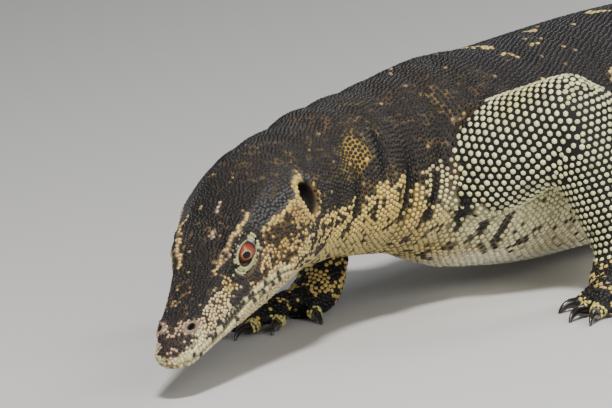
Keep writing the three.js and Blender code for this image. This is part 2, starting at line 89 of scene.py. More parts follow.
# Swellings and folds: place along, length, place round the side in degrees, spread, height.
FORMS = (
    (77, 15, 57, 10, 2.8),  # brow ridge
    (45, 22, 56, 9, 1.3),  # ridge of the snout
    (55, 20, 30, 12, -1.4),  # side of the snout
    (74, 11, 28, 14, -2.2),  # hollow round the eye
    (17, 6.5, 54, 17, 1.8),  # nostril swelling
    (46, 38, 10, 6, 1.0),  # upper lip
    (46, 38, -14, 7, 0.9),  # lower lip
    (108, 13, 2, 24, 3.0),  # jaw muscle
    (117.5, 5, 21, 15, 1.6),  # front rim of the ear
    (130, 7, 17, 15, -3.0),  # hollow behind the ear
    (150, 26, -75, 40, 3.5),  # throat pouch
    (214, 7, -8, 42, -4.5),  # neck fold
    (198, 12, 5, 40, 2.5),  # bulge before the fold
    (246, 6, -20, 45, -4.0),  # shoulder fold
)


def smooth_track(x, y):
    """A smooth curve through the points x, y that never swings past them."""
    x = np.asarray(x, float)
    y = np.asarray(y, float)
    rise = np.diff(y) / np.diff(x)
    slope = np.zeros_like(y)
    slope[0], slope[-1] = rise[0], rise[-1]
    for i in range(1, len(x) - 1):
        if rise[i - 1] * rise[i] > 0:
            before, after = x[i] - x[i - 1], x[i + 1] - x[i]
            first, second = 2 * after + before, after + 2 * before
            slope[i] = (first + second) / (first / rise[i - 1] + second / rise[i])

    def curve(at):
        at = np.clip(at, x[0], x[-1])
        i = np.clip(np.searchsorted(x, at, side="left") - 1, 0, len(x) - 2)
        width = x[i + 1] - x[i]
        t = (at - x[i]) / width
        start = (1 + 2 * t) * (1 - t) ** 2 * y[i] + t * (1 - t) ** 2 * width * slope[i]
        return start + t * t * (3 - 2 * t) * y[i + 1] - t * t * (1 - t) * width * slope[i + 1]

    return curve


FRONT = [smooth_track(SECTIONS[:, 0], SECTIONS[:, column]) for column in range(1, 7)]
FRONT_WIDE, FRONT_HIGH, FRONT_DEEP, SQUARENESS, FRONT_LINE, FRONT_YAW = FRONT


def tail_share(at):
    return np.clip((at - TAIL_AT) / (TAIL_END - TAIL_AT), 0, 1)


def body_size(front, tip, power):
    """A size of the section: its track in front, then a taper along the tail."""
    root = front(TAIL_AT)

    def size(at):
        taper = tip + (root - tip) * (1 - tail_share(at)) ** power
        return np.where(at < TAIL_AT, front(at), taper)

    return size


half_width = body_size(FRONT_WIDE, 1.4, 1.35)
height_above = body_size(FRONT_HIGH, 2.2, 0.95)
depth_below = body_size(FRONT_DEEP, 2.2, 1.1)


def line_height(at):
    lying = depth_below(at) - SOLE_SINK
    left = np.clip(1 - (at - TAIL_AT) / TAIL_DROP, 0, 1)
    over = TAIL_LINE - TAIL_DEEP + SOLE_SINK
    return np.where(at < TAIL_AT, FRONT_LINE(at), lying + over * left * left)


def heading(at):
    swing = FRONT_YAW(TAIL_AT) + TAIL_SWING * np.sin(2 * np.pi * TAIL_WAVES * tail_share(at))
    return np.where(at < TAIL_AT, FRONT_YAW(at), swing)


def walk_line():
    """The body's line, walked from the shoulders both ways along the heading."""
    at = np.arange(round(TAIL_END / LINE_STEP) + 1) * LINE_STEP
    start = round(SHOULDER_AT / LINE_STEP)
    height = line_height(at)
    turn = np.radians(heading(at[:-1] + LINE_STEP / 2))
    run = np.sqrt(np.maximum(0, LINE_STEP**2 - np.diff(height) ** 2))
    x = np.concatenate([[0], np.cumsum(-run * np.sin(turn))])
    y = np.concatenate([[0], np.cumsum(run * np.cos(turn))])
    return np.stack([x - x[start], y - y[start], height], axis=1)


LINE = walk_line()


def unit(vectors):
    return vectors / np.linalg.norm(vectors, axis=-1, keepdims=True)


def dot(a, b):
    return np.sum(a * b, axis=-1)


def square_to(way, out):
    """The direction of a way without the part of it that lies along out."""
    return unit(way - out * dot(way, out)[..., None])


def line_point(at):
    place = np.clip(np.asarray(at, float) / LINE_STEP, 0, len(LINE) - 1.001)
    i = np.floor(place).astype(int)
    share = (place - i)[..., None]
    return LINE[i] * (1 - share) + LINE[i + 1] * share


def section_axes(at):
    """The axes of the section at a distance behind the snout: back, left and up."""
    at = np.asarray(at, float)
    back = unit(line_point(at + 4) - line_point(np.maximum(0, at - 4)))
    left = unit(np.cross(back, UP))
    return back, left, np.cross(left, back)


def side_rise(angle):
    """How high round the side an angle is, in degrees, from -90 below to 90 on top."""
    return np.degrees(np.arcsin(np.clip(np.sin(angle), -1, 1)))


def forms_out(at, angle):
    rise = side_rise(angle)
    out = np.zeros(np.broadcast(at, angle).shape)
    for place, long, side, spread, high in FORMS:
        reach = ((at - place) / long) ** 2 + ((rise - side) / spread) ** 2
        out += np.where(reach < 9, high * np.exp(-reach), 0)
    return out


def keel_out(at, angle):
    """The low ridge along the top of the tail."""
    grown = np.clip((at - TAIL_AT - 40) / 120, 0, 1) * np.clip((TAIL_END - at) / 300, 0, 1)
    return KEEL_HIGH * grown * np.exp(-(((angle - np.pi / 2) / KEEL_WIDE) ** 2))


def body_point(at, angle):
    """A point on the body: angle 0 is the lizard's left and a quarter turn the top."""
    at, angle = np.broadcast_arrays(np.asarray(at, float), np.asarray(angle, float))
    _, left, up = section_axes(at)
    power = 2 / SQUARENESS(at)
    cos, sin = np.cos(angle), np.sin(angle)
    high = np.where(sin >= 0, height_above(at), depth_below(at))
    x = half_width(at) * np.sign(cos) * np.abs(cos) ** power
    y = high * np.sign(sin) * np.abs(sin) ** power
    length = np.hypot(x, y)
    swell = (length + forms_out(at, angle) + keel_out(at, angle)) / length
    return line_point(at) + left * (x * swell)[..., None] + up * (y * swell)[..., None]


def body_place(points):
    """Where points lie on the body: distance behind the snout, and angle round the section."""
    place = np.zeros(len(points))
    for part in np.array_split(np.arange(len(points)), max(1, len(points) // 4000)):
        gap = ((points[part, None, :] - LINE[None, ::2, :]) ** 2).sum(-1)
        place[part] = gap.argmin(1) * 2 * LINE_STEP
    for _ in range(4):
        back = section_axes(place)[0]
        place = np.clip(place + 0.8 * dot(points - line_point(place), back), 0, TAIL_END)
    _, left, up = section_axes(place)
    off = points - line_point(place)
    x, y = dot(off, left), dot(off, up)
    high = np.where(y >= 0, height_above(place), depth_below(place))
    power = SQUARENESS(place) / 2
    cos = np.sign(x) * (np.abs(x) / half_width(place)) ** power
    sin = np.sign(y) * (np.abs(y) / high) ** power
    return place, np.arctan2(sin, cos)


# The legs' joints in the body's frame, the way the toes point, and the sizes of each leg.
FORE_UPPER = ((0, 27, 30), (0.35, 27, 29), (0.7, 24, 26), (1, 21, 23))
FORE_LOWER = ((0, 20, 23), (0.3, 22, 24), (0.7, 17, 18), (1, 12.5, 15))
HIND_UPPER = ((0, 32, 38), (0.35, 32, 36), (0.7, 27, 30), (1, 23, 25))
HIND_LOWER = ((0, 22, 25), (0.3, 23, 27), (0.7, 17, 19), (1, 13, 15.5))
# A digit's length, spread in degrees, place across the palm and place back from the knuckles.
FORE_DIGITS = ((24, 52, 10, 8), (33, 26, 9, 2), (39, 4, 2, 0), (38, -18, -6, 1), (28, -46, -11, 7))
HIND_DIGITS = ((24, 40, 12, 16), (38, 20, 9, 5), (50, 5, 3, 0), (58, -11, -5, 2), (34, -44, -13, 18))
CLAW_LONG = 19
SOLE_FROM = 0.55


class Leg:
    """One leg: its joints, bones and foot."""

    def __init__(self, name, side, toes, root, bend, end, fore):
        self.name, self.side, self.toes, self.fore = name, side, toes, fore
        self.root, self.bend, self.end = (np.array(p, float) for p in (root, bend, end))
        self.upper = FORE_UPPER if fore else HIND_UPPER
        self.lower = FORE_LOWER if fore else HIND_LOWER
        self.palm_long, self.palm_wide, self.palm_high, self.heel = (
            (30, 17, 10, 8) if fore else (50, 18, 11, 10)
        )
        self.digits = FORE_DIGITS if fore else HIND_DIGITS
        self.digit_radius = 6.0 if fore else 6.4
        self.plane = unit(np.cross(self.bend - self.root, self.end - self.bend))


LEGS = (
    Leg("fore_left", 1, 30, (40, -18, 70), (98, 2, 95), (111, 9, 29), True),
    Leg("fore_right", -1, 5, (-38, -18, 64), (-96, -22, 70), (-45, -47, 27), True),
    Leg("hind_left", 1, 24, (-22, 348, 58), (72, 292, 70), (92, 352, 27), False),
    Leg("hind_right", -1, -42, (-62, 362, 58), (-150, 372, 66), (-158, 452, 27), False),
)


def flat_way(degrees):
    turn = math.radians(degrees)
    return np.array([math.sin(turn), -math.cos(turn), 0.0])


def turns(sides, shift=0.0):
    """Evenly spread angles round a ring."""
    return (np.arange(sides) + shift) / sides * 2 * np.pi


class Tube:
    """A bone's flesh between two joints, with a dome at each end."""

    def __init__(self, start, end, plane, rows):
        self.start, self.end = start, end
        self.long = np.linalg.norm(end - start)
        self.along = (end - start) / self.long
        self.across = square_to(plane, self.along)
        self.flat = np.cross(self.across, self.along)
        rows = np.array(rows, float)
        self.wide = smooth_track(rows[:, 0], rows[:, 1])
        self.thick = smooth_track(rows[:, 0], rows[:, 2])

    def centre(self, share):
        return self.start + self.along * (np.asarray(share) * self.long)[..., None]

    def out(self, share, angle):
        """From the tube's line to its surface."""
        a = self.wide(share) * np.cos(angle)
        b = self.thick(share) * np.sin(angle)
        return self.across * a[..., None] + self.flat * b[..., None]

    def rings(self, sides):
        angle = turns(sides)
        first, last = [], []
        for size in (0.1, 0.3, 0.5, 0.7, 0.85, 0.95):
            dome = math.sqrt(1 - size * size)
            before = self.start - self.along * (self.wide(0) * 0.8 * dome)
            after = self.end + self.along * (self.wide(1) * 0.8 * dome)
            first.append(before + self.out(np.zeros(sides), angle) * size)
            last.append(after + self.out(np.ones(sides), angle) * size)
        middle = []
        for share in np.linspace(0, 1, 25):
            at = np.full(sides, share)
            middle.append(self.centre(at) + self.out(at, angle))
        return first + middle + last[::-1]


def path_frame(way):
    across = unit(np.cross(UP, way))
    return across, np.cross(way, across)


def path_ring(centre, way, wide, high, sides):
    across, up = path_frame(way)
    angle = turns(sides, 0.5)
    return centre + np.outer(wide * np.cos(angle), across) + np.outer(high * np.sin(angle), up)


def palm_section(leg, share):
    """The palm's centre, half width and half height at a share of its length."""
    way = flat_way(leg.toes)
    swell = math.sin(math.pi * min(1, 0.2 + share * 0.75)) ** 0.5
    centre = leg.end + way * (-leg.heel + (leg.palm_long + leg.heel) * share)
    tall = (leg.palm_high + 5 * (1 - share)) * swell
    off_floor = max(0, 1 - share / SOLE_FROM) ** 1.6
    centre[2] = tall - SOLE_SINK * 1.3 + (leg.end[2] - tall) * off_floor
    return centre, leg.palm_wide * (0.72 + 0.35 * share) * swell, tall


KNUCKLE_HIGH = 8.5
KNUCKLE_SUNK = 9
DIGIT_FLAT = 0.95


class Digit:
    """A digit's line: out from the knuckle, up a little and down to the floor."""

    def __init__(self, leg, row):
        self.long, spread, across_palm, back = row
        self.radius = leg.digit_radius
        way = flat_way(leg.toes)
        across = -np.cross(UP, way)
        root = leg.palm_long - back - KNUCKLE_SUNK
        self.start = leg.end + way * root - across * leg.side * across_palm
        self.start[2] = KNUCKLE_HIGH
        self.way = flat_way(leg.toes - leg.side * spread)

    def point(self, share):
        place = self.start + self.way * (self.long + KNUCKLE_SUNK) * share
        low = KNUCKLE_HIGH * (1 - share) + (self.radius * 0.66 - 0.2) * share
        place[2] = low + 5.2 * math.sin(math.pi * min(1, max(0, share))) ** 1.3
        return place

    def direction(self, share):
        return unit(self.point(min(1, share + 0.06)) - self.point(max(0, share - 0.06)))

    def size(self, share):
        return self.radius * (1 - 0.28 * share) * (1 + 0.07 * math.cos(share * math.pi * 6))


for leg in LEGS:
    leg.tubes = (
        Tube(leg.root, leg.bend, leg.plane, leg.upper),
        Tube(leg.bend, leg.end, leg.plane, leg.lower),
    )
    leg.digit_lines = [Digit(leg, row) for row in leg.digits]


# Features of the head, as in the solids: place behind the snout and rise round the side.
EYE_AT, EYE_RISE, EYE_SUNK, EYEBALL = 75, 38, 4.2, 6.9
NOSTRIL_AT, NOSTRIL_RISE = 16.5, 54
EAR_AT, EAR_RISE = 126.5, 18


def surface_place(at, rise, side):
    """A point on the body with the way out of it and the way back along it."""
    angle = math.radians(rise if side > 0 else 180 - rise)
    point = body_point(at, angle)
    along = body_point(at + 4, angle) - body_point(at - 4, angle)
    round_way = body_point(at, angle + 0.12) - body_point(at, angle - 0.12)
    out = unit(np.cross(along, round_way))
    if dot(out, point - line_point(at)) < 0:
        out = -out
    return point, out, square_to(along, out)


SIDES = (1, -1)
EYE_MIDDLE = {}
for side in SIDES:
    spot, out, _ = surface_place(EYE_AT, EYE_RISE, side)
    EYE_MIDDLE[side] = spot - out * EYE_SUNK

# The solids stand with the middle of their box over the origin, so the shapes move with them.
low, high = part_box("eye_left")
SHIFT = (np.array(low) + np.array(high)) / 2 / MM - EYE_MIDDLE[1]
SHIFT[2] = 0.0


def to_metres(points):
    return (np.asarray(points, float) + SHIFT) * MM


def to_body(points):
    return np.asarray(points, float) / MM - SHIFT


# Meshes
def placed(name, data):
    """A new object of the scene."""
    obj = bpy.data.objects.new(name, data)
    bpy.context.scene.collection.objects.link(obj)
    return obj


def mesh_object(name, points, faces, material=None):
    """A smooth object from points in the body's frame and triangles."""
    mesh = bpy.data.meshes.new(name)
    mesh.vertices.add(len(points))
    mesh.vertices.foreach_set("co", to_metres(points).astype(np.float32).ravel())
    mesh.loops.add(faces.size)
    mesh.loops.foreach_set("vertex_index", faces.astype(np.int32).ravel())
    mesh.polygons.add(len(faces))
    mesh.polygons.foreach_set("loop_start", np.arange(len(faces), dtype=np.int32) * 3)
    mesh.polygons.foreach_set("use_smooth", np.ones(len(faces), bool))
    mesh.update(calc_edges=True)
    if material:
        mesh.materials.append(material)
    return placed(name, mesh)


def read_rows(items, field, width, kind=np.float32):
    """A field of all a mesh's items, a row for each."""
    values = np.empty(len(items) * width, kind)
    items.foreach_get(field, values)
    return values.reshape(-1, width)


def mesh_points(mesh):
    return to_body(read_rows(mesh.vertices, "co", 3))


def mesh_normals(mesh):
    return read_rows(mesh.vertices, "normal", 3).astype(float)


def set_points(mesh, points):
    mesh.vertices.foreach_set("co", to_metres(points).astype(np.float32).ravel())
    mesh.update()


def set_tint(mesh, colours):
    layer = mesh.attributes.new("Tint", "FLOAT_COLOR", "POINT")
    rgba = np.ones((len(colours), 4), np.float32)
    rgba[:, :3] = colours
    layer.data.foreach_set("color", rgba.ravel())


def ring_faces(rings, sides):
    """The triangles of a closed tube of rings, with the middle of each end as its last points."""
    r, i = np.meshgrid(np.arange(rings - 1), np.arange(sides), indexing="ij")
    a = (r * sides + i).ravel()
    b = (r * sides + (i + 1) % sides).ravel()
    i = np.arange(sides)
    j = (i + 1) % sides
    last = (rings - 1) * sides
    middle = np.full(sides, rings * sides)
    kinds = (
        (a, b, a + sides),
        (b, b + sides, a + sides),
        (i, middle, j),
        (last + i, last + j, middle + 1),
    )
    return np.concatenate([np.stack(kind, 1) for kind in kinds])


def ring_tube(rings):
    """The points and outward triangles of a closed tube through rings."""
    sides = len(rings[0])
    ends = np.stack([rings[0].mean(0), rings[-1].mean(0)])
    points = np.concatenate([*rings, ends])
    faces = ring_faces(len(rings), sides)
    corner = points[faces]
    volume = dot(corner[:, 0], np.cross(corner[:, 1], corner[:, 2])).sum()
    return points, faces if volume > 0 else faces[:, ::-1]


def body_rings():
    """Rings round the body, closest together on the head."""
    spans = ((0, 140, 2.0), (140, 720, 4.0), (720, TAIL_END, 8.0))
    at = np.concatenate([np.arange(*span) for span in spans] + [[TAIL_END]])
    return list(body_point(at[:, None], turns(120)[None, :]))


def digit_rings(line):
    rings = []
    for share in np.linspace(0, 1.0, 19):
        size = line.size(share)
        rings.append((line.point(share), line.direction(share), size, size * DIGIT_FLAT))
    end, way, size = line.point(1.0), line.direction(1.0), line.size(1.0)
    for turn in (0.5, 0.9, 1.25):
        shrink = math.cos(turn)
        ahead = way * size * 0.6 * math.sin(turn)
        rings.append((end + ahead, way, size * shrink, size * DIGIT_FLAT * shrink))
    return [path_ring(*ring, 20) for ring in rings]


def palm_rings(leg):
    way = flat_way(leg.toes)
    sections = [palm_section(leg, share) for share in np.linspace(0, 1, 20)]
    return [path_ring(centre, way, wide, tall, 28) for centre, wide, tall in sections]


def flesh_tubes():
    yield body_rings()
    for leg in LEGS:
        for tube in leg.tubes:
            yield tube.rings(40)
        yield palm_rings(leg)
        for line in leg.digit_lines:
            yield digit_rings(line)


def joined(tubes):
    points, faces, start = [], [], 0
    for rings in tubes:
        tube_points, tube_faces = ring_tube(rings)
        points.append(tube_points)
        faces.append(tube_faces + start)
        start += len(tube_points)
    return np.concatenate(points), np.concatenate(faces)


def smoothed(points, edges, weight, rounds):
    """Points drawn towards the middle of their neighbours, each by its weight."""
    count = np.bincount(edges.ravel(), minlength=len(points))[:, None]
    first, second = edges.T
    for _ in range(rounds):
        middle = np.zeros_like(points)
        for column, own in enumerate(points.T):
            middle[:, column] = np.bincount(first, own[second], len(points))
            middle[:, column] += np.bincount(second, own[first], len(points))
        points = points + (middle / np.maximum(count, 1) - points) * weight[:, None]
    return points


SKIN_VOXEL = 1.8
ROOT_REACH = 62


def root_closeness(points):
    """One where a leg grows from the body, falling to nothing a hand's width away."""
    close = np.zeros(len(points))
    for leg in LEGS:
        joint = leg.root + (leg.bend - leg.root) * 0.45
        gap = np.linalg.norm(points - joint, axis=1) / ROOT_REACH
        close = np.maximum(close, np.clip(1.4 - gap, 0, 1))
    return close


def remeshed(obj, voxel):
    modifier = obj.modifiers.new("whole", "REMESH")
    modifier.mode = "VOXEL"
    modifier.voxel_size = voxel * MM
    modifier.adaptivity = 0
    modifier.use_smooth_shade = True
    graph = bpy.context.evaluated_depsgraph_get()
    mesh = bpy.data.meshes.new_from_object(obj.evaluated_get(graph))
    bpy.data.objects.remove(obj)
    return mesh


def split_edges(mesh, chosen):
    """Cuts in two each edge whose ends are both chosen, so that the skin is finer there."""
    work = bmesh.new()
    work.from_mesh(mesh)
    work.verts.ensure_lookup_table()
    flags = list(chosen)
    edges = [e for e in work.edges if flags[e.verts[0].index] and flags[e.verts[1].index]]
    bmesh.ops.subdivide_edges(work, edges=edges, cuts=1, use_grid_fill=True)
    work.to_mesh(mesh)
    work.free()
    mesh.polygons.foreach_set("use_smooth", np.ones(len(mesh.polygons), bool))


HEAD_REACH, HEAD_END = 140, 150
COAT_DEPTH = 0.5
SKIN_LOWEST = 0.25


def head_weight(at):
    """One over the head, falling to nothing over the nape."""
    return np.clip((HEAD_REACH + 12 - at) / 12, 0, 1)


# The line of the mouth: height over the body's line at distances behind the snout.
LIP_LINE = smooth_track((0, 6, 30, 60, 84, 96, 104), (-0.9, -1.4, -2.4, -1.3, -3.6, -8.5, -15))
MOUTH_END = 101


class Feature:
    """A feature on one side of the head, with its own plane: x back, y up, z out."""

    def __init__(self, at, rise, side, lean, forward):
        self.spot, out, back = surface_place(at, rise, side)
        self.out = unit(out - back * forward)
        back = square_to(back, self.out)
        up = np.cross(self.out, back) * side
        turn = math.radians(lean)
        self.back = back * math.cos(turn) + up * math.sin(turn)
        self.up = up * math.cos(turn) - back * math.sin(turn)

    def reach(self, points, long, tall):
        """Distance from the feature's middle on an oval, with the place in its plane."""
        off = points - self.spot
        x, y = dot(off, self.back), dot(off, self.up)
        return np.where(np.abs(dot(off, self.out)) < 14, np.hypot(x / long, y / tall), 99), x, y


# The ovals of the features. An eye's reach is in millimetres, the others' in shares of the oval.
EYE_LONG, EYE_TALL = 1.05, 0.93
EAR_LONG, EAR_TALL = 6.6, 8.4
NOSTRIL_LONG, NOSTRIL_TALL = 2.4, 1.6
EYES, EARS, NOSTRILS = {}, {}, {}
for side in SIDES:
    EYES[side] = Feature(EYE_AT, EYE_RISE, side, lean=4, forward=0.72)
    EYES[side].spot = EYE_MIDDLE[side] + surface_place(EYE_AT, EYE_RISE, side)[1] * 0.5
    EARS[side] = Feature(EAR_AT, EAR_RISE, side, lean=-18, forward=0.5)
    EARS[side].spot = EARS[side].spot + EARS[side].back * 1.2
    NOSTRILS[side] = Feature(NOSTRIL_AT, NOSTRIL_RISE, side, lean=-25, forward=0)


def eye_reach(points, side):
    return EYES[side].reach(points, EYE_LONG, EYE_TALL)


def ear_reach(points, side):
    return EARS[side].reach(points, EAR_LONG, EAR_TALL)


def nostril_reach(points, side):
    return NOSTRILS[side].reach(points, NOSTRIL_LONG, NOSTRIL_TALL)


def inside_features(points, eye, ear, nostril):
    """Whether points are nearer an eye, an ear or a nostril than the reaches given."""
    inside = np.zeros(len(points), bool)
    for side in SIDES:
        inside |= eye_reach(points, side)[0] < eye
        inside |= ear_reach(points, side)[0] < ear
        inside |= nostril_reach(points, side)[0] < nostril
    return inside


def mouth_off(points, at):
    """Height over the line of the mouth."""
    _, _, up = section_axes(at)
    return dot(points - line_point(at), up) - LIP_LINE(at)


# Reliefs against the reach of a feature, or against the height over the line of the mouth.
LID_RISE = smooth_track(
    (0, 4.6, 5.1, 5.8, 6.8, 8.0, 9.0, 10, 11, 14),
    (-5, -4.5, 1.1, 1.8, 1.3, -0.2, 0.3, 0.6, 0.1, 0),
)
EAR_DEPTH = smooth_track((0, 0.55, 0.85, 1.02, 1.3, 1.8), (-7, -6.6, -3.6, 0.1, 0.5, 0))
NOSTRIL_DEPTH = smooth_track((0, 0.6, 1.0, 1.4, 2.0, 3.0), (-2.6, -2.3, -0.3, 0.55, 0.4, 0))
MOUTH_GROOVE = smooth_track(
    (-4.5, -2.4, -0.9, -0.25, 0.1, 0.8, 2.2, 5),
    (0, 0.45, 0.3, -1.15, -1.1, 0.55, 0.6, 0),
)


def head_relief(points, at):
    """How far lids, nostrils, ears, lips and wrinkles stand out of the plain head."""
    relief = np.zeros(len(points))
    for side in SIDES:
        reach, x, y = eye_reach(points, side)
        relief += LID_RISE(reach)
        brow = np.exp(-(((y - 9.5) / 2.4) ** 2) - ((x - 1) / 11) ** 2)
        relief += np.where(reach < 30, 1.5 * brow, 0)
        folds = np.sin((reach - 6) * 2.6) * np.exp(-(((reach - 12) / 4.5) ** 2)) * (y < 4)
        relief += 0.32 * folds
        reach, x, y = ear_reach(points, side)
        rim = np.exp(-(((reach - 1.2) / 0.25) ** 2))
        relief += EAR_DEPTH(reach) + rim * np.where(x < 0, 0.35, 1.3 * np.clip(x / 6, 0, 1))
        relief += NOSTRIL_DEPTH(nostril_reach(points, side)[0])
    off = mouth_off(points, at)
    fade = np.clip((MOUTH_END - at) / 6, 0, 1)
    relief += MOUTH_GROOVE(off) * fade
    corner = np.hypot(at - 99, off)
    relief += 0.3 * np.sin(corner * 1.25) * np.exp(-(((corner - 13) / 9) ** 2)) * (at > 90)
    return relief


def near_feature(points, at):
    """Where the head needs its finest skin."""
    mouth = (np.abs(mouth_off(points, at)) < 2.6) & (at < MOUTH_END)
    return mouth | inside_features(points, 8.5, 1.7, 2.4)


# Folds of loose skin: places, lengths, slants and depths over the neck and shoulders.
NECK_FOLDS = (
    (150, 6, -25, 34, 0.35, -2.0),
    (160, 4, -40, 26, 0.2, -1.2),
    (171, 4.5, -12, 30, 0.3, -2.4),
    (196, 4.2, 22, 26, 0.42, -3.3),
    (187, 4, -35, 24, -0.1, -1.5),
    (214, 4, -12, 36, 0.15, -3.1),
    (228, 4, -26, 30, 0.1, -2.6),
    (236, 3.5, 22, 22, 0.3, -1.3),
    (250, 4.5, -25, 34, -0.2, -2.4),
    (266, 5, -45, 30, -0.15, -2.0),
    (280, 5, -50, 26, -0.2, -1.8),
)


def fold_relief(points, at, angle):
    """Folds and fine wrinkles of the loose skin behind the head."""
    rise = side_rise(angle)
    relief = np.zeros(len(points))
    for place, long, side, spread, slant, depth in NECK_FOLDS:
        bent = at - place - slant * (rise - side) * 0.5
        relief += depth * np.exp(-((bent / long) ** 2) - ((rise - side) / spread) ** 2)
    grown = np.clip((at - 135) / 20, 0, 1) * np.clip((330 - at) / 60, 0, 1)
    wrinkle = np.sin(at / 2.1 + 2.4 * wavy(points, 26, 5)) * wavy(points, 34, 6)
    relief += 0.42 * grown * wrinkle * np.clip((48 - rise) / 40, 0.15, 1)
    rolls = np.sin(at / 3.6 + 2.2 * wavy(points, 42, 7)) * np.clip((rise + 10) / 40, 0, 1)
    return relief + grown * (0.75 * rolls + 0.9 * wavy(points, 24, 8))


def mixed(a, b, c, seed):
    """A repeatable number between 0 and 1 for each point of a grid."""
    value = (a * 374761393 + b * 668265263 + c * 2147483647 + seed * 974634777) & 0xFFFFFFFF
    value = ((value ^ (value >> 13)) * 1274126177) & 0xFFFFFFFF
    return ((value ^ (value >> 16)) & 0xFFFFFF) / 0xFFFFFF


def wavy(points, size, seed):
    """Smooth noise between -1 and 1, with lumps of about the given size in millimetres."""
    place = points / size
    corner = np.floor(place).astype(np.int64)
    part = place - corner
    part = part * part * (3 - 2 * part)
    total = np.zeros(len(points))
    for step in np.ndindex(2, 2, 2):
        weight = np.abs(1 - np.array(step) - part)
        weight = weight[:, 0] * weight[:, 1] * weight[:, 2]
        total += weight * mixed(*(corner + step).T, seed)
    return np.clip((total - 0.5) * 2.4, -1, 1)


def nearest_cell(points, size, seed):
    """The distance to the nearest of a scatter of middles, and that middle's own number."""
    place = points / size
    corner = np.floor(place).astype(np.int64)
    best = np.full(len(points), 9.0)
    number = np.zeros(len(points))
    for step in np.ndindex(3, 3, 3):
        cell = (corner + step - 1).T
        spot = np.stack([cell[k] + 0.2 + 0.6 * mixed(*cell, seed + k) for k in range(3)], 1)
        gap = np.linalg.norm(place - spot, axis=1)
        number = np.where(gap < best, mixed(*cell, seed + 7), number)
        best = np.minimum(best, gap)
    return best * size, number


def body_match(points):
    """Where points lie on the body, that place's point, and how far they are off it."""
    at, angle = body_place(points)
    true = body_point(at, angle)
    return at, angle, true, np.linalg.norm(points - true, axis=1)


def add_relief(mesh):
    """Puts the head's skin on its true surface, then adds the features and the neck's folds."""
    points = mesh_points(mesh)
    at, angle, true, off = body_match(points)
    weight = head_weight(at) * (off < 5) * (at > 3)
    points = points + (true - points) * (weight * 0.85)[:, None]
    set_points(mesh, points)
    head = weight > 0.01
    push = np.zeros(len(points))
    push[head] = head_relief(points[head], at[head]) * weight[head]
    loose = (at > 125) & (at < 345) & (np.linalg.norm(points - true, axis=1) < 6)
    push[loose] += fold_relief(points[loose], at[loose], angle[loose])
    points = points + mesh_normals(mesh) * (push - COAT_DEPTH)[:, None]
    points[:, 2] = np.maximum(points[:, 2], SKIN_LOWEST)
    set_points(mesh, points)


def skin_mesh():
    """One skin over all the flesh, finer on the head and finest at its features."""
    mesh = remeshed(mesh_object("rough", *joined(flesh_tubes())), SKIN_VOXEL)
    points = mesh_points(mesh)
    edges = read_rows(mesh.edges, "vertices", 2, np.int32)
    close = root_closeness(points)
    points = smoothed(points, edges, 0.25 + 0.4 * close, 4)
    points = smoothed(points, edges, 0.62 * close, 22)
    set_points(mesh, points)
    at, _, _, off = body_match(points)
    split_edges(mesh, (at < HEAD_REACH) & (off < 4))
    points = mesh_points(mesh)
    at, _, _, off = body_match(points)
    fine = (at < HEAD_REACH) & (off < 4)
    fine[fine] = near_feature(points[fine], at[fine])
    split_edges(mesh, fine)
    add_relief(mesh)
    return mesh


# Scales: each has a seat on the skin, a row of its point, the way along and out, its place and
# angle on its host, and its half length, half width and dome.
POINT, ALONG, OUT = slice(0, 3), slice(3, 6), slice(6, 9)
PLACE, ANGLE, LONG, WIDE, DOME = range(9, 14)


def seat_rows(point, along, out, place, angle, sizes):
    return np.concatenate([point, along, out, place[:, None], angle[:, None], sizes], 1)


class Limb:
    """A length of leg as a run of ovals, for scales to be set on."""

    def __init__(self, shares, sections, row_step, pitch, dome):
        self.shares = shares
        centre, across, up, wide, high = (np.array(v) for v in zip(*sections))
        self.rows = np.concatenate([centre, across, up, wide[:, None], high[:, None]], 1)
        self.row_step, self.pitch, self.dome = row_step, pitch, dome
        self.long = np.linalg.norm(centre[-1] - centre[0]) / (shares[-1] - shares[0])

    def at(self, share):
        row = np.stack([np.interp(share, self.shares, column) for column in self.rows.T], -1)
        return row[..., :3], row[..., 3:6], row[..., 6:9], row[..., 9:10], row[..., 10:]

    def surface(self, share, angle):
        centre, across, up, wide, high = self.at(share)
        cos, sin = np.cos(angle)[..., None], np.sin(angle)[..., None]
        return centre + across * wide * cos + up * high * sin

    def place(self, points):
        gap = np.linalg.norm(points[:, None] - self.rows[None, :, :3], axis=2)
        share = self.shares[gap.argmin(1)]
        for _ in range(3):
            ahead = self.at(share + 0.02)[0] - self.at(share - 0.02)[0]
            off = points - self.at(share)[0]
            share = share + 0.04 * dot(off, ahead) / np.maximum(dot(ahead, ahead), 1e-6)
            share = np.clip(share, self.shares[0], self.shares[-1])
        centre, across, up, wide, high = self.at(share)
        off = points - centre
        return share, np.arctan2(dot(off, up) / high[:, 0], dot(off, across) / wide[:, 0])


def tube_limb(tube, fineness):
    shares = np.linspace(-0.15, 1.1, 40)
    inner = np.clip(shares, 0, 1)
    sizes = zip(tube.centre(shares), tube.wide(inner), tube.thick(inner))
    sections = [(centre, tube.across, tube.flat, wide, high) for centre, wide, high in sizes]
    return Limb(shares, sections, 3.9 * fineness, 4.5 * fineness, TUBE_DOME * fineness)


def palm_limb(leg):
    shares = np.linspace(0, 1, 20)
    axes = path_frame(flat_way(leg.toes))
    sections = []
    for share in shares:
        centre, wide, tall = palm_section(leg, share)
        sections.append((centre, *axes, wide, tall))
    return Limb(shares, sections, 2.5, 2.9, 0.55)


def digit_limb(line):
    shares = np.linspace(0, 1.1, 30)
    sections = []
    for share in shares:
        on = min(1, share)
        size = line.size(on) * (1 if share <= 1 else 0.75)
        axes = path_frame(line.direction(on))
        sections.append((line.point(share), *axes, size, size * DIGIT_FLAT))
    return Limb(shares, sections, 2.2, 2.9, 0.5)


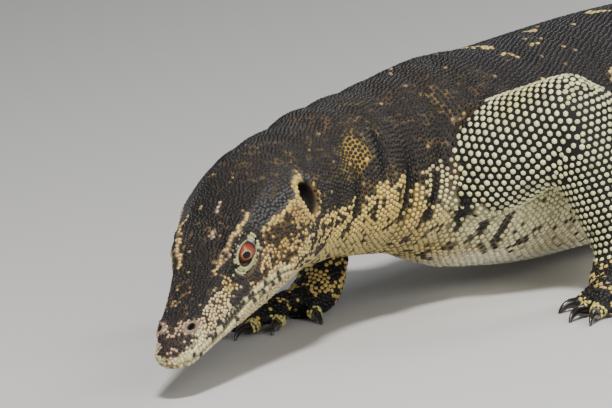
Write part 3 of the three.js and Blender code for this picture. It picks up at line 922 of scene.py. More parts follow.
# Each leg's limbs are its two bones, its palm and its five digits. The beads of the bones stand
# up highest, and are set further apart.
TUBE_DOME, HIGH_DOME = 0.9, 0.7
BEAD_SIZE, FOOT_SIZE = 0.37, 0.46
BODY_ROOM, BEAD_ROOM, FOOT_ROOM = 1.25, 2.05, 1.6
LIMBS = []
for leg in LEGS:
    LIMBS += [tube_limb(tube, fineness) for tube, fineness in zip(leg.tubes, (1, 0.88))]
    LIMBS.append(palm_limb(leg))
    LIMBS += [digit_limb(line) for line in leg.digit_lines]
PARTS = 8
BODY = -1

# The spacing of the scales at places along the body: round the back and row to row, and round
# the belly.
SPACED_AT = (0, 30, 70, 128, 200, 360, TAIL_AT, 900, TAIL_END)
BACK_PITCH = (1.7, 1.9, 2.2, 2.2, 2.7, 3.2, 3.6, 4.4, 2.8)
ROW_STEP = (1.5, 1.65, 1.75, 1.8, 2.3, 2.75, 3.1, 3.9, 2.8)
BELLY_AT = (0, 60, 140, 300, TAIL_AT, 900, TAIL_END)
BELLY_PITCH = (2.0, 2.4, 3.0, 4.4, 4.4, 4.6, 3.0)
RING_STEPS = 241
# The rings of scales round an eye: their reach and the spacing in each.
LID_RINGS = ((5.9, 1.1), (7.1, 1.3), (8.4, 1.5), (9.8, 1.7))
# How squarely a seat has to face out of the skin.
SEAT_FACING = 0.4


def body_pitch(at, angle):
    """The distance between scales round the body."""
    rise = side_rise(angle)
    back, belly = np.interp(at, SPACED_AT, BACK_PITCH), np.interp(at, BELLY_AT, BELLY_PITCH)
    crown = np.exp(-(((at - 70) / 26) ** 2) - ((rise - 74) / 13) ** 2)
    under = np.clip((-25 - rise) / 20, 0, 1)
    return back + (belly - back) * under + 0.25 * crown


def ring_angles(surface, a, pitch, shift):
    """The angles of one row of seats round a shape, counted from below it."""
    angle = np.linspace(-np.pi / 2, 1.5 * np.pi, RING_STEPS)
    ring = surface(np.full(RING_STEPS, a), angle)
    middle = (angle[1:] + angle[:-1]) / 2
    step = np.linalg.norm(np.diff(ring, axis=0), axis=1) / pitch(a, middle)
    total = np.concatenate([[0], np.cumsum(step)])
    count = max(3, round(total[-1]))
    return np.interp((np.arange(count) + shift) / count * total[-1], total, angle)


def outward(surface, a, angle, step):
    """Points of a shape with the way along it and the way out of it."""
    point = surface(a, angle)
    along = unit(surface(a + step, angle) - surface(a - step, angle))
    round_way = surface(a, angle + 0.05) - surface(a, angle - 0.05)
    out = unit(np.cross(along, round_way))
    inward = surface(a, angle + np.pi) - point
    return point, along, np.where(dot(out, inward)[:, None] > 0, -out, out)


def body_seats(draw):
    """Rows of seats round the body, a little out of line, with the openings left free."""
    rows, at = [], 1.2
    while at < TAIL_END - 2:
        step = np.interp(at, SPACED_AT, ROW_STEP)
        angle = ring_angles(body_point, at, body_pitch, 0.5 * (len(rows) % 2))
        rows.append((np.full(len(angle), at), angle, np.full(len(angle), step)))
        at += step
    at, angle, step = (np.concatenate(v) for v in zip(*rows))
    loose = np.where(at < 150, 0.28, 0.12)
    turned = body_pitch(at, angle) / half_width(at)
    angle = angle + draw.uniform(-1, 1, len(at)) * loose * turned
    at = np.clip(at + draw.uniform(-1, 1, len(at)) * loose * step, 0.4, TAIL_END - 1)
    point, along, out = outward(body_point, at, angle, 2.0)
    wide = body_pitch(at, angle) * np.interp(at, (0, 120, 200), (0.44, 0.44, 0.45))
    dome = np.interp(at, (0, 60, 140, 300), (0.42, 0.45, 0.6, 0.7))
    dome = np.where(side_rise(angle) < -30, dome * 0.6, dome)
    sizes = np.stack([step * 0.51, wide, dome], 1)
    head = at < 110
    drop = inside_features(point, 8.6, 1.15, 1.7)
    drop[head] |= near_lips(point[head], at[head])
    return seat_rows(point, along, out, at, angle, sizes)[~drop]


def near_lips(points, at):
    """Whether points are within the room of the plates along the mouth."""
    room = np.interp(at, (0, 2, 5, 94, 100), (0.9, 1.2, 3.4, 3.4, 0))
    return np.abs(mouth_off(points, at)) < room


def lip_seats():
    """Two rows of plates along the mouth on each side."""
    at = np.tile(np.arange(2.6, 97, 2.7), 4)
    over, left = np.repeat(((1.85, 1.85, -1.75, -1.75), (1, 0, 1, 0)), len(at) // 4, axis=1)
    y = LIP_LINE(at) + over
    high = np.where(y >= 0, height_above(at), depth_below(at))
    angle = np.arcsin(np.clip(np.sign(y) * (np.abs(y) / high) ** (SQUARENESS(at) / 2), -1, 1))
    angle = np.where(left == 1, angle, np.pi - angle)
    point, along, out = outward(body_point, at, angle, 1.5)
    return seat_rows(point, along, out, at, angle, np.tile((1.38, 1.62, 0.5), (len(at), 1)))


def lid_seats():
    """Rings of small scales on the lids and round them."""
    seats = []
    for eye in EYES.values():
        for ring, (reach, pitch) in enumerate(LID_RINGS):
            count = round(2 * math.pi * reach * EYE_LONG / pitch)
            turn = turns(count, 0.5 * (ring % 2))
            x, y = reach * EYE_LONG * np.cos(turn), reach * EYE_TALL * np.sin(turn)
            point = eye.spot + eye.out * 5 + np.outer(x, eye.back) + np.outer(y, eye.up)
            along = np.outer(-np.sin(turn), eye.back) + np.outer(np.cos(turn), eye.up)
            out = np.tile(eye.out, (count, 1))
            at, angle = body_place(point)
            sizes = np.tile((pitch * 0.5, pitch * 0.52, 0.3), (count, 1))
            seats.append(seat_rows(point, along, out, at, angle, sizes))
    return np.concatenate(seats)


def limb_seats(limb):
    """Rows of seats round a limb, each row half a seat on from the last."""
    step = limb.row_step / limb.long
    rows = []
    for share in np.arange(limb.shares[0] + step / 2, limb.shares[-1], step):
        shift = 0.5 * (len(rows) % 2)
        angle = ring_angles(limb.surface, share, lambda a, angle: limb.pitch, shift)
        rows.append((np.full(len(angle), share), angle))
    share, angle = (np.concatenate(v) for v in zip(*rows))
    point, along, out = outward(limb.surface, share, angle, 0.03)
    size = BEAD_SIZE if limb.dome > HIGH_DOME else FOOT_SIZE
    sizes = np.tile((limb.row_step * size * 1.1, limb.pitch * size, limb.dome), (len(share), 1))
    return seat_rows(point, along, out, share, angle, sizes)


class Skin:
    """The finished skin, as something to set scales on."""

    def __init__(self, mesh):
        self.points = mesh_points(mesh)
        self.normals = mesh_normals(mesh)
        mesh.calc_loop_triangles()
        self.corners = read_rows(mesh.loop_triangles, "vertices", 3, np.int32)
        self.tree = BVHTree.FromPolygons(self.points.tolist(), self.corners.tolist())

    def seated(self, seats, reach):
        """The seats whose way in meets the skin within reach, moved onto it."""
        kept = np.zeros(len(seats), bool)
        for i, seat in enumerate(seats):
            way = Vector(seat[OUT])
            hit, _, face, _ = self.tree.ray_cast(Vector(seat[POINT]) + way * reach, -way, 2 * reach)
            if hit is None:
                continue
            normal = self.normals[self.corners[face]].mean(0)
            if normal @ seat[OUT] > SEAT_FACING:
                seat[POINT] = hit
                seat[OUT] = normal
                kept[i] = True
        seats = seats[kept]
        seats[:, OUT] = unit(seats[:, OUT])
        seats[:, ALONG] = square_to(seats[:, ALONG], seats[:, OUT])
        return seats


class Crowd:
    """Seats found so far, in cells, to keep new ones from crowding them."""

    CELL = 3.0

    def __init__(self):
        self.cells = {}

    def free(self, x, y, z, cell, room):
        i, j, k = cell
        for a in (i - 1, i, i + 1):
            for b in (j - 1, j, j + 1):
                for c in (k - 1, k, k + 1):
                    for px, py, pz in self.cells.get((a, b, c), ()):
                        if (px - x) ** 2 + (py - y) ** 2 + (pz - z) ** 2 < room * room:
                            return False
        return True

    def settle(self, points, room):
        """Marks the points that have room among those before them, and adds them."""
        kept = np.zeros(len(points), bool)
        for i, (x, y, z) in enumerate(points.tolist()):
            cell = int(x // self.CELL), int(y // self.CELL), int(z // self.CELL)
            kept[i] = self.free(x, y, z, cell, room[i])
            if kept[i]:
                self.cells.setdefault(cell, []).append((x, y, z))
        return kept


def fill_seats(skin, crowd, seats, hosts):
    """Seats for the bare places left in folds and where limbs grow from the body."""
    at = body_place(skin.points)[0]
    head = at < HEAD_END
    near = skin.points[head]
    bare = skin.points[:, 2] > 1.0
    bare[head] &= ~(inside_features(near, 7.8, 1.2, 1.9) | near_lips(near, at[head]))
    index = np.flatnonzero(bare)
    tree = KDTree(len(seats))
    for i, point in enumerate(seats[:, POINT].tolist()):
        tree.insert(point, i)
    tree.balance()
    nearest = np.empty(len(skin.points), int)
    gap = np.empty(len(skin.points))
    for i, point in enumerate(skin.points.tolist()):
        _, nearest[i], gap[i] = tree.find(point)
    # new scales are as wide as the nearest one with its gap, where there is room for that
    size = seats[nearest[index], WIDE] * 2.1
    roomy = gap[index] > size * 0.86
    index, size = index[roomy], size[roomy]
    kept = crowd.settle(skin.points[index], size * 0.92)
    index = index[kept]
    like = nearest[index]
    filled = seats[like]
    filled[:, POINT] = skin.points[index]
    filled[:, OUT] = skin.normals[index]
    along = filled[:, ALONG] - filled[:, OUT] * dot(filled[:, ALONG], filled[:, OUT])[:, None]
    filled[:, ALONG] = unit(along + 1e-6)
    host = hosts[like]
    for number in np.unique(host):
        own = host == number
        place = body_place if number == BODY else LIMBS[number].place
        filled[own, PLACE], filled[own, ANGLE] = place(filled[own, POINT])
    filled[:, LONG] = filled[:, WIDE] = size[kept] * 0.47
    return filled, host, nearest


def all_seats(skin, draw):
    """The seats of all scales, their hosts, and the seat nearest to each point of the skin."""
    crowd = Crowd()
    found, hosts = [], []
    groups = [(BODY, lid_seats(), 9), (BODY, lip_seats(), 4), (BODY, body_seats(draw), 9)]
    groups += [(i, limb_seats(limb), 7) for i, limb in enumerate(LIMBS)]
    for host, seats, reach in groups:
        seats = skin.seated(seats, reach)
        room = BODY_ROOM if host == BODY else BEAD_ROOM if host % PARTS < 2 else FOOT_ROOM
        size = np.minimum(seats[:, LONG], seats[:, WIDE])
        seats = seats[crowd.settle(seats[:, POINT], size * room)]
        found.append(seats)
        hosts.append(np.full(len(seats), host))
    seats, hosts = np.concatenate(found), np.concatenate(hosts)
    filled, filled_hosts, nearest = fill_seats(skin, crowd, seats, hosts)
    return np.concatenate([seats, filled]), np.concatenate([hosts, filled_hosts]), nearest


def bake_place(seats, hosts):
    """Where each scale lies on an unwrap: strips of the body, then a block for each leg."""
    place, round_share = seats[:, PLACE], (seats[:, ANGLE] / (2 * np.pi) + 0.25) % 1
    cuts = (0, 140, 140.001, 360, 360.001, TAIL_AT)
    u = np.interp(place, cuts, (0.005, 0.27, 0.285, 0.585, 0.60, 0.995))
    v = 0.005 + 0.49 * round_share
    for first, last, low, tall in ((TAIL_AT, 1245, 0.52, 0.27), (1245, TAIL_END, 0.81, 0.17)):
        own = place >= first
        u[own] = 0.005 + (place[own] - first) / (last - first) * 0.565
        v[own] = low + tall * round_share[own]
    cells = ((0.60, 0, 0.066, 0.112), (0.67, 0, 0.066, 0.112), (0.74, 0, 0.046, 0.112))
    cells += tuple((0.79 + 0.07 * (i % 3), 0.058 * (i // 3), 0.064, 0.053) for i in range(5))
    for i, limb in enumerate(LIMBS):
        own = hosts == i
        left, low, wide, tall = cells[i % PARTS]
        first, last = limb.shares[0], limb.shares[-1]
        u[own] = left + wide * (place[own] - first) / (last - first)
        v[own] = 0.52 + 0.118 * (i // PARTS) + low + tall * round_share[own]
    return np.stack([u, v], 1)


# The rings of a scale: their size, how far under the skin, and the share of the dome's height.
SCALE_RINGS = ((1.0, -0.35, 0), (0.84, 0.0, 0.66), (0, 0.0, 1))
SCALE_LEAN = 0.12
# How much darker the sunk ring of each scale is tinted: painted shade where a scale meets the skin.
SUNK_RING_PAINTED_SHADE = 0.55
BAKE_SIZE = 0.00135


def scale_mesh(name, seats, middles, colours, sides, material, draw):
    """One mesh of domed scales, each a ring sunk in the skin, a shoulder and a top, with painted
    shade darkening the sunk ring.
    """
    count = len(seats)
    turn = turns(sides) + 0.1
    corner = 1 + draw.uniform(-0.09, 0.09, (count, sides))
    grow = 1 + draw.uniform(-0.07, 0.07, (count, 1))
    x, y = np.cos(turn) * corner * grow, np.sin(turn) * corner * grow
    dome = seats[:, DOME] * draw.uniform(0.85, 1.15, count)
    along, out = seats[:, ALONG], seats[:, OUT]
    across = np.cross(out, along)
    rows, flat = [], []
    for size, sink, rise in SCALE_RINGS:
        ring_x, ring_y = (x * size, y * size) if size else np.zeros((2, count, 1))
        height = (dome * rise + sink)[:, None] + SCALE_LEAN * ring_x * dome[:, None]
        ahead, aside = ring_x * seats[:, LONG, None], ring_y * seats[:, WIDE, None]
        point = seats[:, None, POINT] + along[:, None] * ahead[..., None]
        point = point + across[:, None] * aside[..., None]
        rows.append(point + out[:, None] * height[..., None])
        flat.append(np.stack([ring_x, ring_y], -1))
    points = np.concatenate(rows, 1)
    points[..., 2] = np.maximum(points[..., 2], 0.0)
    flat = np.concatenate(flat, 1)
    i = np.arange(sides)
    j = (i + 1) % sides
    kinds = (i, j, i + sides), (j, j + sides, i + sides), (i + sides, j + sides, i * 0 + 2 * sides)
    own = np.concatenate([np.stack(kind, 1) for kind in kinds])
    each = 2 * sides + 1
    faces = (own[None] + (np.arange(count) * each)[:, None, None]).reshape(-1, 3)
    obj = mesh_object(name, points.reshape(-1, 3), faces, material)
    # painted shade: the sunk ring gets a darker tint than the shoulder and the top
    shade = np.ones((count, each, 1))
    shade[:, :sides] = SUNK_RING_PAINTED_SHADE
    set_tint(obj.data, (colours[:, None] * shade).reshape(-1, 3))
    bake = obj.data.uv_layers.new(name="OFBake")
    spot = (middles[:, None] + flat * BAKE_SIZE).reshape(-1, 2)
    bake.data.foreach_set("uv", spot[faces.ravel()].astype(np.float32).ravel())
    return obj


# Markings: each place has a dark and a pale colour, a share of pale, and a colour between scales.
def srgb(*values):
    """A colour from its screen values, 0 to 255."""
    value = np.array(values, float) / 255
    return np.where(value <= 0.04045, value / 12.92, ((value + 0.055) / 1.055) ** 2.4)


# BEAD, the temple's dark grey, is set lighter in part as painted sheen for the shine on those beads.
BLACK, BROWN, BEAD = srgb(27, 25, 25), srgb(66, 50, 38), srgb(86, 83, 83)
TAN, GOLD, CREAM = srgb(152, 124, 86), srgb(206, 178, 102), srgb(230, 218, 166)
BEADS, LID_PALE, PINK = srgb(234, 230, 178), srgb(190, 186, 136), srgb(194, 164, 134)
# How bright the dark colours are laid on the scales.
DARKNESS = 0.62


def band(value, middle, half, soft):
    """One within half of the middle, falling to nothing over a soft edge."""
    return np.clip((half + soft - np.abs(value - middle)) / soft, 0, 1)


def step_up(value, low, high):
    return np.clip((value - low) / (high - low), 0, 1)


class Marks:
    """The markings of a set of places, laid on in turn. A tuple is a colour's screen values."""

    LAYERS = ("share", "pale", "dark", "gap")

    def __init__(self, count):
        self.share = np.zeros(count)
        self.pale = np.tile(GOLD, (count, 1))
        self.dark = np.tile(BLACK, (count, 1))
        self.gap = np.tile(srgb(30, 26, 24), (count, 1))

    def lay(self, mask, share=None, pale=None, dark=None, gap=None):
        """Moves each layer that is given towards its new value, as far as the mask says."""
        mask = np.clip(mask, 0, 1)
        if share is not None:
            self.share += (share - self.share) * mask
        for name, colour in zip(self.LAYERS[1:], (pale, dark, gap)):
            if colour is not None:
                colour = srgb(*colour) if isinstance(colour, tuple) else colour
                now = getattr(self, name)
                setattr(self, name, now + (colour - now) * mask[:, None])

    def hide(self, mask, *colour):
        """Covers scales and gaps alike in one dark colour."""
        self.lay(mask, 0, dark=colour, gap=colour)

    def take(self, own, part):
        """Puts the marks of some of the places among the others."""
        for name in self.LAYERS:
            getattr(self, name)[own] = getattr(part, name)


def snout_marks(marks, points, at, rise):
    """The crown, the snout and the mottled cheek."""
    marks.lay(np.ones(len(at)), 0.1, TAN, (34, 30, 28), (40, 33, 28))
    flecks = step_up(wavy(points, 3.2, 22), 0.3, 0.6) * step_up(wavy(points, 17, 23), -0.5, 0.3)
    marks.lay(flecks, gap=(140, 110, 72), dark=(44, 38, 33))
    snout = step_up(58 - at, 0, 14)
    marks.lay(snout * step_up(rise, 48, 60), 0.2, TAN)
    side = step_up(54 - rise, 0, 8)
    marks.lay(side * snout, 0.6, CREAM * 0.85, (40, 34, 30), (74, 56, 36))
    marks.lay(side * band(at, 34, 12, 6) * band(rise, 24, 16, 8), 0.68, (206, 188, 140))
    marks.lay(side * band(at, 60, 9, 6) * band(rise, 20, 20, 8), 0.5, GOLD * 0.8)
    # the cheek under the band
    marks.lay(side * step_up(at, 76, 88), 0.56, (170, 140, 80), (36, 29, 23), (86, 66, 37))
    jaw = step_up(at, 54, 66) * step_up(8 - rise, 0, 10)
    marks.lay(jaw, 0.54, (206, 182, 116), (42, 34, 30), (112, 86, 50))
    below_eye = side * band(at, 74, 9, 5) * band(rise, 12, 9, 8)
    marks.lay(below_eye, 0.5, (196, 168, 110), gap=(90, 70, 44))
    dark_blot = band(at, 54, 5, 4) * band(rise, 7, 6, 6)
    marks.lay(dark_blot, 0.14, (206, 196, 190), (42, 38, 39), BROWN)


def crown_marks(marks, points, at, rise):
    """The temple, the band from eye to ear, two pale scratches and the line over the eye."""
    line = np.interp(at, (80, 122), (38, 25))
    temple = step_up(at, 82, 88) * step_up(rise - line, 1, 4) * step_up(64 - rise, 0, 6)
    # The temple's scales are a dark grey, lighter in part as painted sheen for the shine of its
    # beads.
    marks.lay(temple, 0.03, TAN, BEAD, (30, 27, 25))
    ear_band = band(rise, line + 0.5, 1.7, 1.6) * step_up(at, 80, 85) * step_up(126 - at, 0, 4)
    marks.lay(ear_band, 0.93, GOLD, gap=GOLD * 0.5)
    for place, turn in ((96, 1.57), (76, 1.46)):
        left = section_axes(place)[1]
        sideways = points @ left - line_point(place) @ left - 30 * np.cos(turn)
        off_line = np.hypot((at - place) / 4.5, sideways / 1.1)
        scratch = step_up(1.15 - off_line, 0, 0.3) * (rise > 60)
        marks.lay(scratch, 0.8, (190, 170, 150), gap=(120, 100, 84))
    brow = band(rise, np.interp(at, (48, 72, 96), (68, 61, 60)), 1.9, 1.5) * band(at, 72, 21, 4)
    marks.lay(brow, 0.9, (204, 174, 106), gap=TAN * 0.6)


def lip_marks(marks, points, at, rise, off):
    """The tip of the snout, barred lips and a pale chin."""
    tip = step_up(24 - at, 0, 6)
    marks.lay(tip * step_up(rise, 30, 50), 0.48, PINK, (40, 34, 32), (70, 52, 42))
    marks.lay(tip * step_up(40 - rise, 0, 20), 0.8, CREAM, (52, 44, 38), CREAM * 0.4)
    bars = np.sin(at * 0.52 + 1.6 * wavy(points, 11, 21) + 0.6)
    lips = band(off, 0.9, 2.4, 1.0) * step_up(100 - at, 0, 10)
    share = np.interp(at, (16, 34), (0.9, 0.58))
    marks.lay(lips, share, (216, 200, 146), (58, 52, 48), CREAM * 0.5)
    marks.lay(lips * step_up(bars, 0.25, 0.5) * step_up(at, 8, 14), 0.18)
    lower = step_up(-1.2 - off, 0, 1) * step_up(102 - at, 0, 14)
    marks.lay(lower, 0.82, (200, 186, 138), (64, 56, 48), TAN * 0.75)
    marks.lay(step_up(-34 - rise, 0, 14), 0.8, (206, 192, 146), (50, 44, 40), TAN * 0.8)


def opening_marks(marks, points, side):
    """Round one eye, ear and nostril: pale rims, and painted shade that darkens the insides of the
    openings.
    """
    reach, x, y = eye_reach(points, side)
    marks.lay(step_up(12 - reach, 0, 2), 0.25, (176, 160, 120), (38, 34, 32))
    marks.lay(step_up(8.9 - reach, 0, 1) * (y < 2), 0.72, LID_PALE, gap=LID_PALE * 0.35)
    edge = np.where(y > 3, 6.6, 7.5) + 1.6 * step_up(np.abs(x), 4.5, 7)
    marks.lay(step_up(edge - reach, 0, 0.4), 0.97, LID_PALE, gap=LID_PALE * 0.5)
    level = band(y, -0.16 * x, 0.9, 0.6)
    corner = level * step_up(np.abs(x), 5.6, 6.4) * step_up(14 - np.abs(x), 0, 3)
    marks.hide(corner * (reach < 20), 27, 25, 25)
    # painted shade: the skin inside the lids' opening, round the eyeball, in near black
    marks.hide(step_up(5.3 - reach, 0, 0.3), 20, 16, 15)
    reach, x, _ = ear_reach(points, side)
    marks.lay(step_up(1.75 - reach, 0, 0.3) * step_up(3 - x, 0, 2), 0.92, GOLD, gap=GOLD * 0.55)
    # painted shade down in the ear's hollow
    marks.hide(step_up(1.1 - reach, 0, 0.14), 22, 17, 14)
    reach = nostril_reach(points, side)[0]
    marks.lay(step_up(2.9 - reach, 0, 1.2), 0.72, PINK, gap=PINK * 0.4)
    # painted shade in the nostril's hole
    marks.hide(step_up(1.15 - reach, 0, 0.2), 18, 14, 13)


def neck_marks(marks, points, at, rise, mask):
    """The neck: dark fine rows above, golden net patches at the side and a pale throat."""
    marks.lay(mask, 0.06, TAN, (31, 28, 27), (58, 47, 37))
    flecks = step_up(wavy(points, 3.0, 36), 0.2, 0.5) * step_up(wavy(points, 22, 37), -0.5, 0.4)
    marks.lay(mask * flecks, gap=(130, 105, 65), dark=(36, 32, 30))
    patch = np.exp(-(((at - 178 - 0.45 * (rise - 30)) / 15) ** 2) - ((rise - 30) / 24) ** 2)
    nets = step_up(patch + 0.3 * wavy(points, 11, 35) + 0.12 * wavy(points, 4, 38), 0.42, 0.6)
    marks.lay(mask * nets, 0.12, (196, 158, 78), (28, 24, 21), (184, 146, 64))
    low = step_up(8 + 12 * wavy(points, 26, 32) + 6 * wavy(points, 9, 33) - rise, 0, 14)
    marks.lay(mask * low, 0.64, (222, 194, 112), (32, 28, 26), (120, 97, 56))
    blots = step_up(wavy(points, 15, 34), 0.28, 0.5) * step_up(40 + rise, 0, 20)
    marks.lay(mask * low * blots, 0.15, gap=(40, 32, 26))
    throat = mask * step_up(-34 - rise, 0, 20)
    marks.lay(throat, 0.7, (192, 172, 110), (44, 38, 34), (108, 92, 56))


def crease_painted_shade(marks, points, at, angle, mask):
    """Painted shade: darker scales and skin at the bottom of the folds, darkest where the folds are
    deepest.
    """
    depth = -fold_relief(points, at, angle)
    # painted shade, by how deep the fold lies at each place, kept off the underside
    fold_shade = step_up(depth, 1.0, 2.2) * step_up(side_rise(angle), -62, -40)
    marks.lay(mask * fold_shade, 0.1, dark=(28, 25, 24), gap=(28, 24, 21))


def trunk_marks(marks, points, at, rise, mask):
    """The trunk: rings of gold spots on a dark back, dark points down the sides, and a pale belly,
    brightened in part as painted light.
    """
    marks.lay(mask, 0.03, TAN, (29, 26, 25), (44, 37, 32))
    flecks = step_up(wavy(points, 3.0, 36), 0.25, 0.55) * step_up(430 - at, 0, 170)
    marks.lay(mask * flecks, gap=(100, 82, 56), dark=(36, 32, 30))
    unrolled = np.stack([at, rise * 1.05, np.full(len(at), 16.0)], 1)
    gap, number = nearest_cell(unrolled, 27, 41)
    size = 3.2 + 3.8 * number + 1.6 * wavy(points, 7, 42)
    spot = band(gap, size * 0.78, size * 0.36, 1.4) * (number > 0.12)
    marks.lay(mask * spot, 0.84, (214, 192, 116), gap=(126, 104, 60))
    level = rise + 7 * wavy(points, 16, 43)
    # The pale underside is the lizard's own colour, made brighter as painted light for the light
    # thrown up under the body.
    flank = mask * step_up(-12 - level, 0, 18)
    marks.lay(flank, 0.9, (242, 234, 196), (42, 38, 36), (176, 160, 120))
    across = np.abs((at / 46 + 0.12 * wavy(points, 30, 44)) % 1 - 0.5) * 46
    point_half = np.interp(level, (-62, -8), (0.5, 15))
    point_down = step_up(point_half - across, 0, 3) * step_up(level, -64, -56)
    marks.lay(mask * point_down, 0.12, dark=(38, 34, 33), gap=(44, 38, 34))
    # The belly's own pale colour, brightened further as painted light from below.
    belly = mask * step_up(-58 - rise, 0, 8)
    marks.lay(belly, 0.95, (250, 245, 218), (170, 160, 134), (212, 202, 168))


def shoulder_marks(marks, points, rise, mask):
    """The beads of the legs run on over the nearest skin of the body."""
    for leg, share in zip(LEGS, (0.97, 0.6, 0.5, 0.5)):
        down, wide = (22, 54) if leg.fore else (4, 44)
        inner = leg.root + (leg.bend - leg.root) * 0.5 - UP * down
        gap = np.linalg.norm((points - inner) * (1, 0.85, 1.1), axis=1)
        gap = gap - wide + 7 * wavy(points, 18, 47)
        near = mask * step_up(-gap, 0, 18)
        marks.lay(near, share, BEADS, (28, 26, 26), (24, 22, 21))
        marks.lay(near * step_up(-8 - rise, 0, 22), gap=(164, 154, 118), dark=(84, 77, 63))


def tail_marks(marks, points, at, rise, mask):
    """The tail: gold bands of broken spots on black."""
    marks.lay(mask, 0.04, TAN, (32, 29, 28), (34, 29, 26))
    across = np.abs((at - 700) / 74 % 1 - 0.5) * 74 + 4 * wavy(points, 15, 51)
    marks.lay(mask * step_up(10 - across, 0, 3), 0.78, GOLD, gap=(110, 84, 44))
    marks.lay(mask * step_up(-35 - rise, 0, 20), 0.5, CREAM * 0.9, gap=(90, 76, 54))


def leg_marks(marks, points, host, share):
    """The legs: round cream beads on black, and dark feet with yellow flecks."""
    part, leg = host % PARTS, host // PARTS
    upper, palm, digits = part < 2, (part == 2) * 1.0, (part > 2) * 1.0
    beads = np.array((0.985, 0.4, 0.5, 0.5))[leg]
    cluster = 0.35 * wavy(points, 20, 61) * (leg > 0)
    marks.lay(upper * 1.0, beads + cluster, BEADS, (24, 22, 22), (17, 16, 16))
    marks.lay(upper * step_up(wavy(points, 26, 62), 0.1, 0.5), pale=(222, 214, 150))
    marks.lay((part == 1) * 1.0, pale=(214, 212, 158))
    marks.lay(upper * (leg == 1), pale=(196, 192, 122))
    marks.lay(palm, 0.34 + cluster, GOLD, (28, 26, 25), (26, 23, 21))
    joints = 0.14 + 0.5 * step_up(np.cos(share * np.pi * 6), 0.55, 0.9)
    marks.lay(digits, joints, GOLD, (27, 25, 25), (24, 21, 20))
    marks.lay(digits * step_up(share, 0.9, 0.97), 0.85, (214, 200, 120))


def head_markings(points, at, rise):
    """The head's marks, with the neck's coming in behind the ear."""
    marks = Marks(len(points))
    off = mouth_off(points, at)
    snout_marks(marks, points, at, rise)
    crown_marks(marks, points, at, rise)
    lip_marks(marks, points, at, rise, off)
    for side in SIDES:
        opening_marks(marks, points, side)
    edge = step_up(at + 5 * wavy(points, 18, 71), 122, 134)
    edge = np.where(rise > 45, step_up(at, 100, 140), edge)
    near_ear = np.minimum(ear_reach(points, 1)[0], ear_reach(points, -1)[0])
    neck_marks(marks, points, at, rise, edge * (near_ear > 1.75))
    return marks


def markings(points, hosts, place, angle, chance):
    """The colour of the scale and of the skin between scales at each place."""
    marks = Marks(len(points))
    rise = side_rise(angle)
    on_body, legs = hosts == BODY, hosts != BODY
    head = on_body & (place < HEAD_END)
    marks.take(head, head_markings(points[head], place[head], rise[head]))
    rest = (on_body & ~head) * 1.0
    neck_marks(marks, points, place, rise, rest)
    behind = step_up(place + 14 * wavy(points, 40, 72), 250, 290)
    trunk_marks(marks, points, place, rise, rest * behind)
    shoulder_marks(marks, points, rise, rest)
    # painted shade in the folds of the neck and shoulders
    crease_painted_shade(marks, points, place, angle, rest * (place < 340))
    tail_marks(marks, points, place, rise, rest * step_up(place, 700, 730))
    part = Marks(legs.sum())
    leg_marks(part, points[legs], hosts[legs], place[legs])
    marks.take(legs, part)
    lump = 0.5 + 0.5 * wavy(points, np.where(on_body, 5.5, 7.0)[:, None], 73)
    lump = lump + 0.42 * wavy(points, np.where(on_body, 2.6, 3.5)[:, None], 74)
    level = 0.6 * np.clip(lump, 0, 1) + 0.4 * chance
    level = np.where(marks.share > 0.88, chance, level)
    pale = np.clip((marks.share - level) / 0.05 + 0.5, 0, 1)[:, None]
    scale = marks.dark * (DARKNESS * (1 - pale)) + marks.pale * pale
    return scale, marks.gap * (0.75 + 0.4 * pale)


# Eyes and claws
PAST_EYE = 9.0
CORNEA_HIGH, CORNEA_TILT = 0.45, 0.5
CLAW_SIDES, CLAW_STEPS = 28, 44
CLAW_SUNK = 1.2


def eye_mesh(name, side, material):
    """An eyeball with a cornea that stands out of it, turned towards the snout."""
    eye = EYES[side]
    sides, count = 96, 56
    turn = turns(sides)
    rings, reach = [], []
    for tilt in np.linspace(0.012, math.pi - 0.05, count) ** 1.15 / math.pi**0.15:
        size = EYEBALL + CORNEA_HIGH * math.exp(-((tilt / CORNEA_TILT) ** 4))
        off = size * math.sin(tilt)
        flat = np.outer(np.cos(turn), eye.back) + np.outer(np.sin(turn), eye.up)
        rings.append(eye.spot + eye.out * size * math.cos(tilt) + flat * off)
        reach.append(np.full(sides, off if tilt < 1.5 else PAST_EYE))
    points, faces = ring_tube(rings)
    obj = mesh_object(name, points, faces, material)
    rim = obj.data.attributes.new("Reach", "FLOAT", "POINT")
    rim.data.foreach_set("value", np.concatenate([*reach, [0.0, PAST_EYE]]).astype(np.float32))
    return obj


def claw_rings(line):
    """A claw's rings: lifted a little at its root, then hooked down to a sharp tip."""
    way = unit(line.point(1) - line.point(0.94))
    place = line.point(1) - way * CLAW_SUNK
    start, long, rings = math.asin(way[2]), CLAW_LONG * (0.8 + line.long / 200), []
    turn = turns(CLAW_SIDES, 0.5)
    ridge = 1 + 0.05 * np.cos(turn * 2) - 0.1 * np.exp(-(((turn - 1.5 * np.pi) / 0.45) ** 2))
    for i in range(CLAW_STEPS + 1):
        share = i / CLAW_STEPS
        bend = 0.62 * share / 0.3 if share < 0.3 else 0.62 - (share - 0.3) / 0.7 * 1.75
        pitch = start + bend
        ahead = line.way * math.cos(pitch) + UP * math.sin(pitch)
        size = line.radius * 0.68 * (1 - share) ** 0.75 + 0.16
        size = size * min(1, 0.86 + share * 1.6)
        across, up = path_frame(ahead)
        ring = place + np.outer(size * 0.62 * np.cos(turn) * ridge, across)
        ring = ring + np.outer(size * 0.95 * np.sin(turn) * ridge, up)
        ring[:, 2] = np.maximum(ring[:, 2], 0.15)
        rings.append(ring)
        place = place + ahead * (long + CLAW_SUNK) / CLAW_STEPS
    return rings


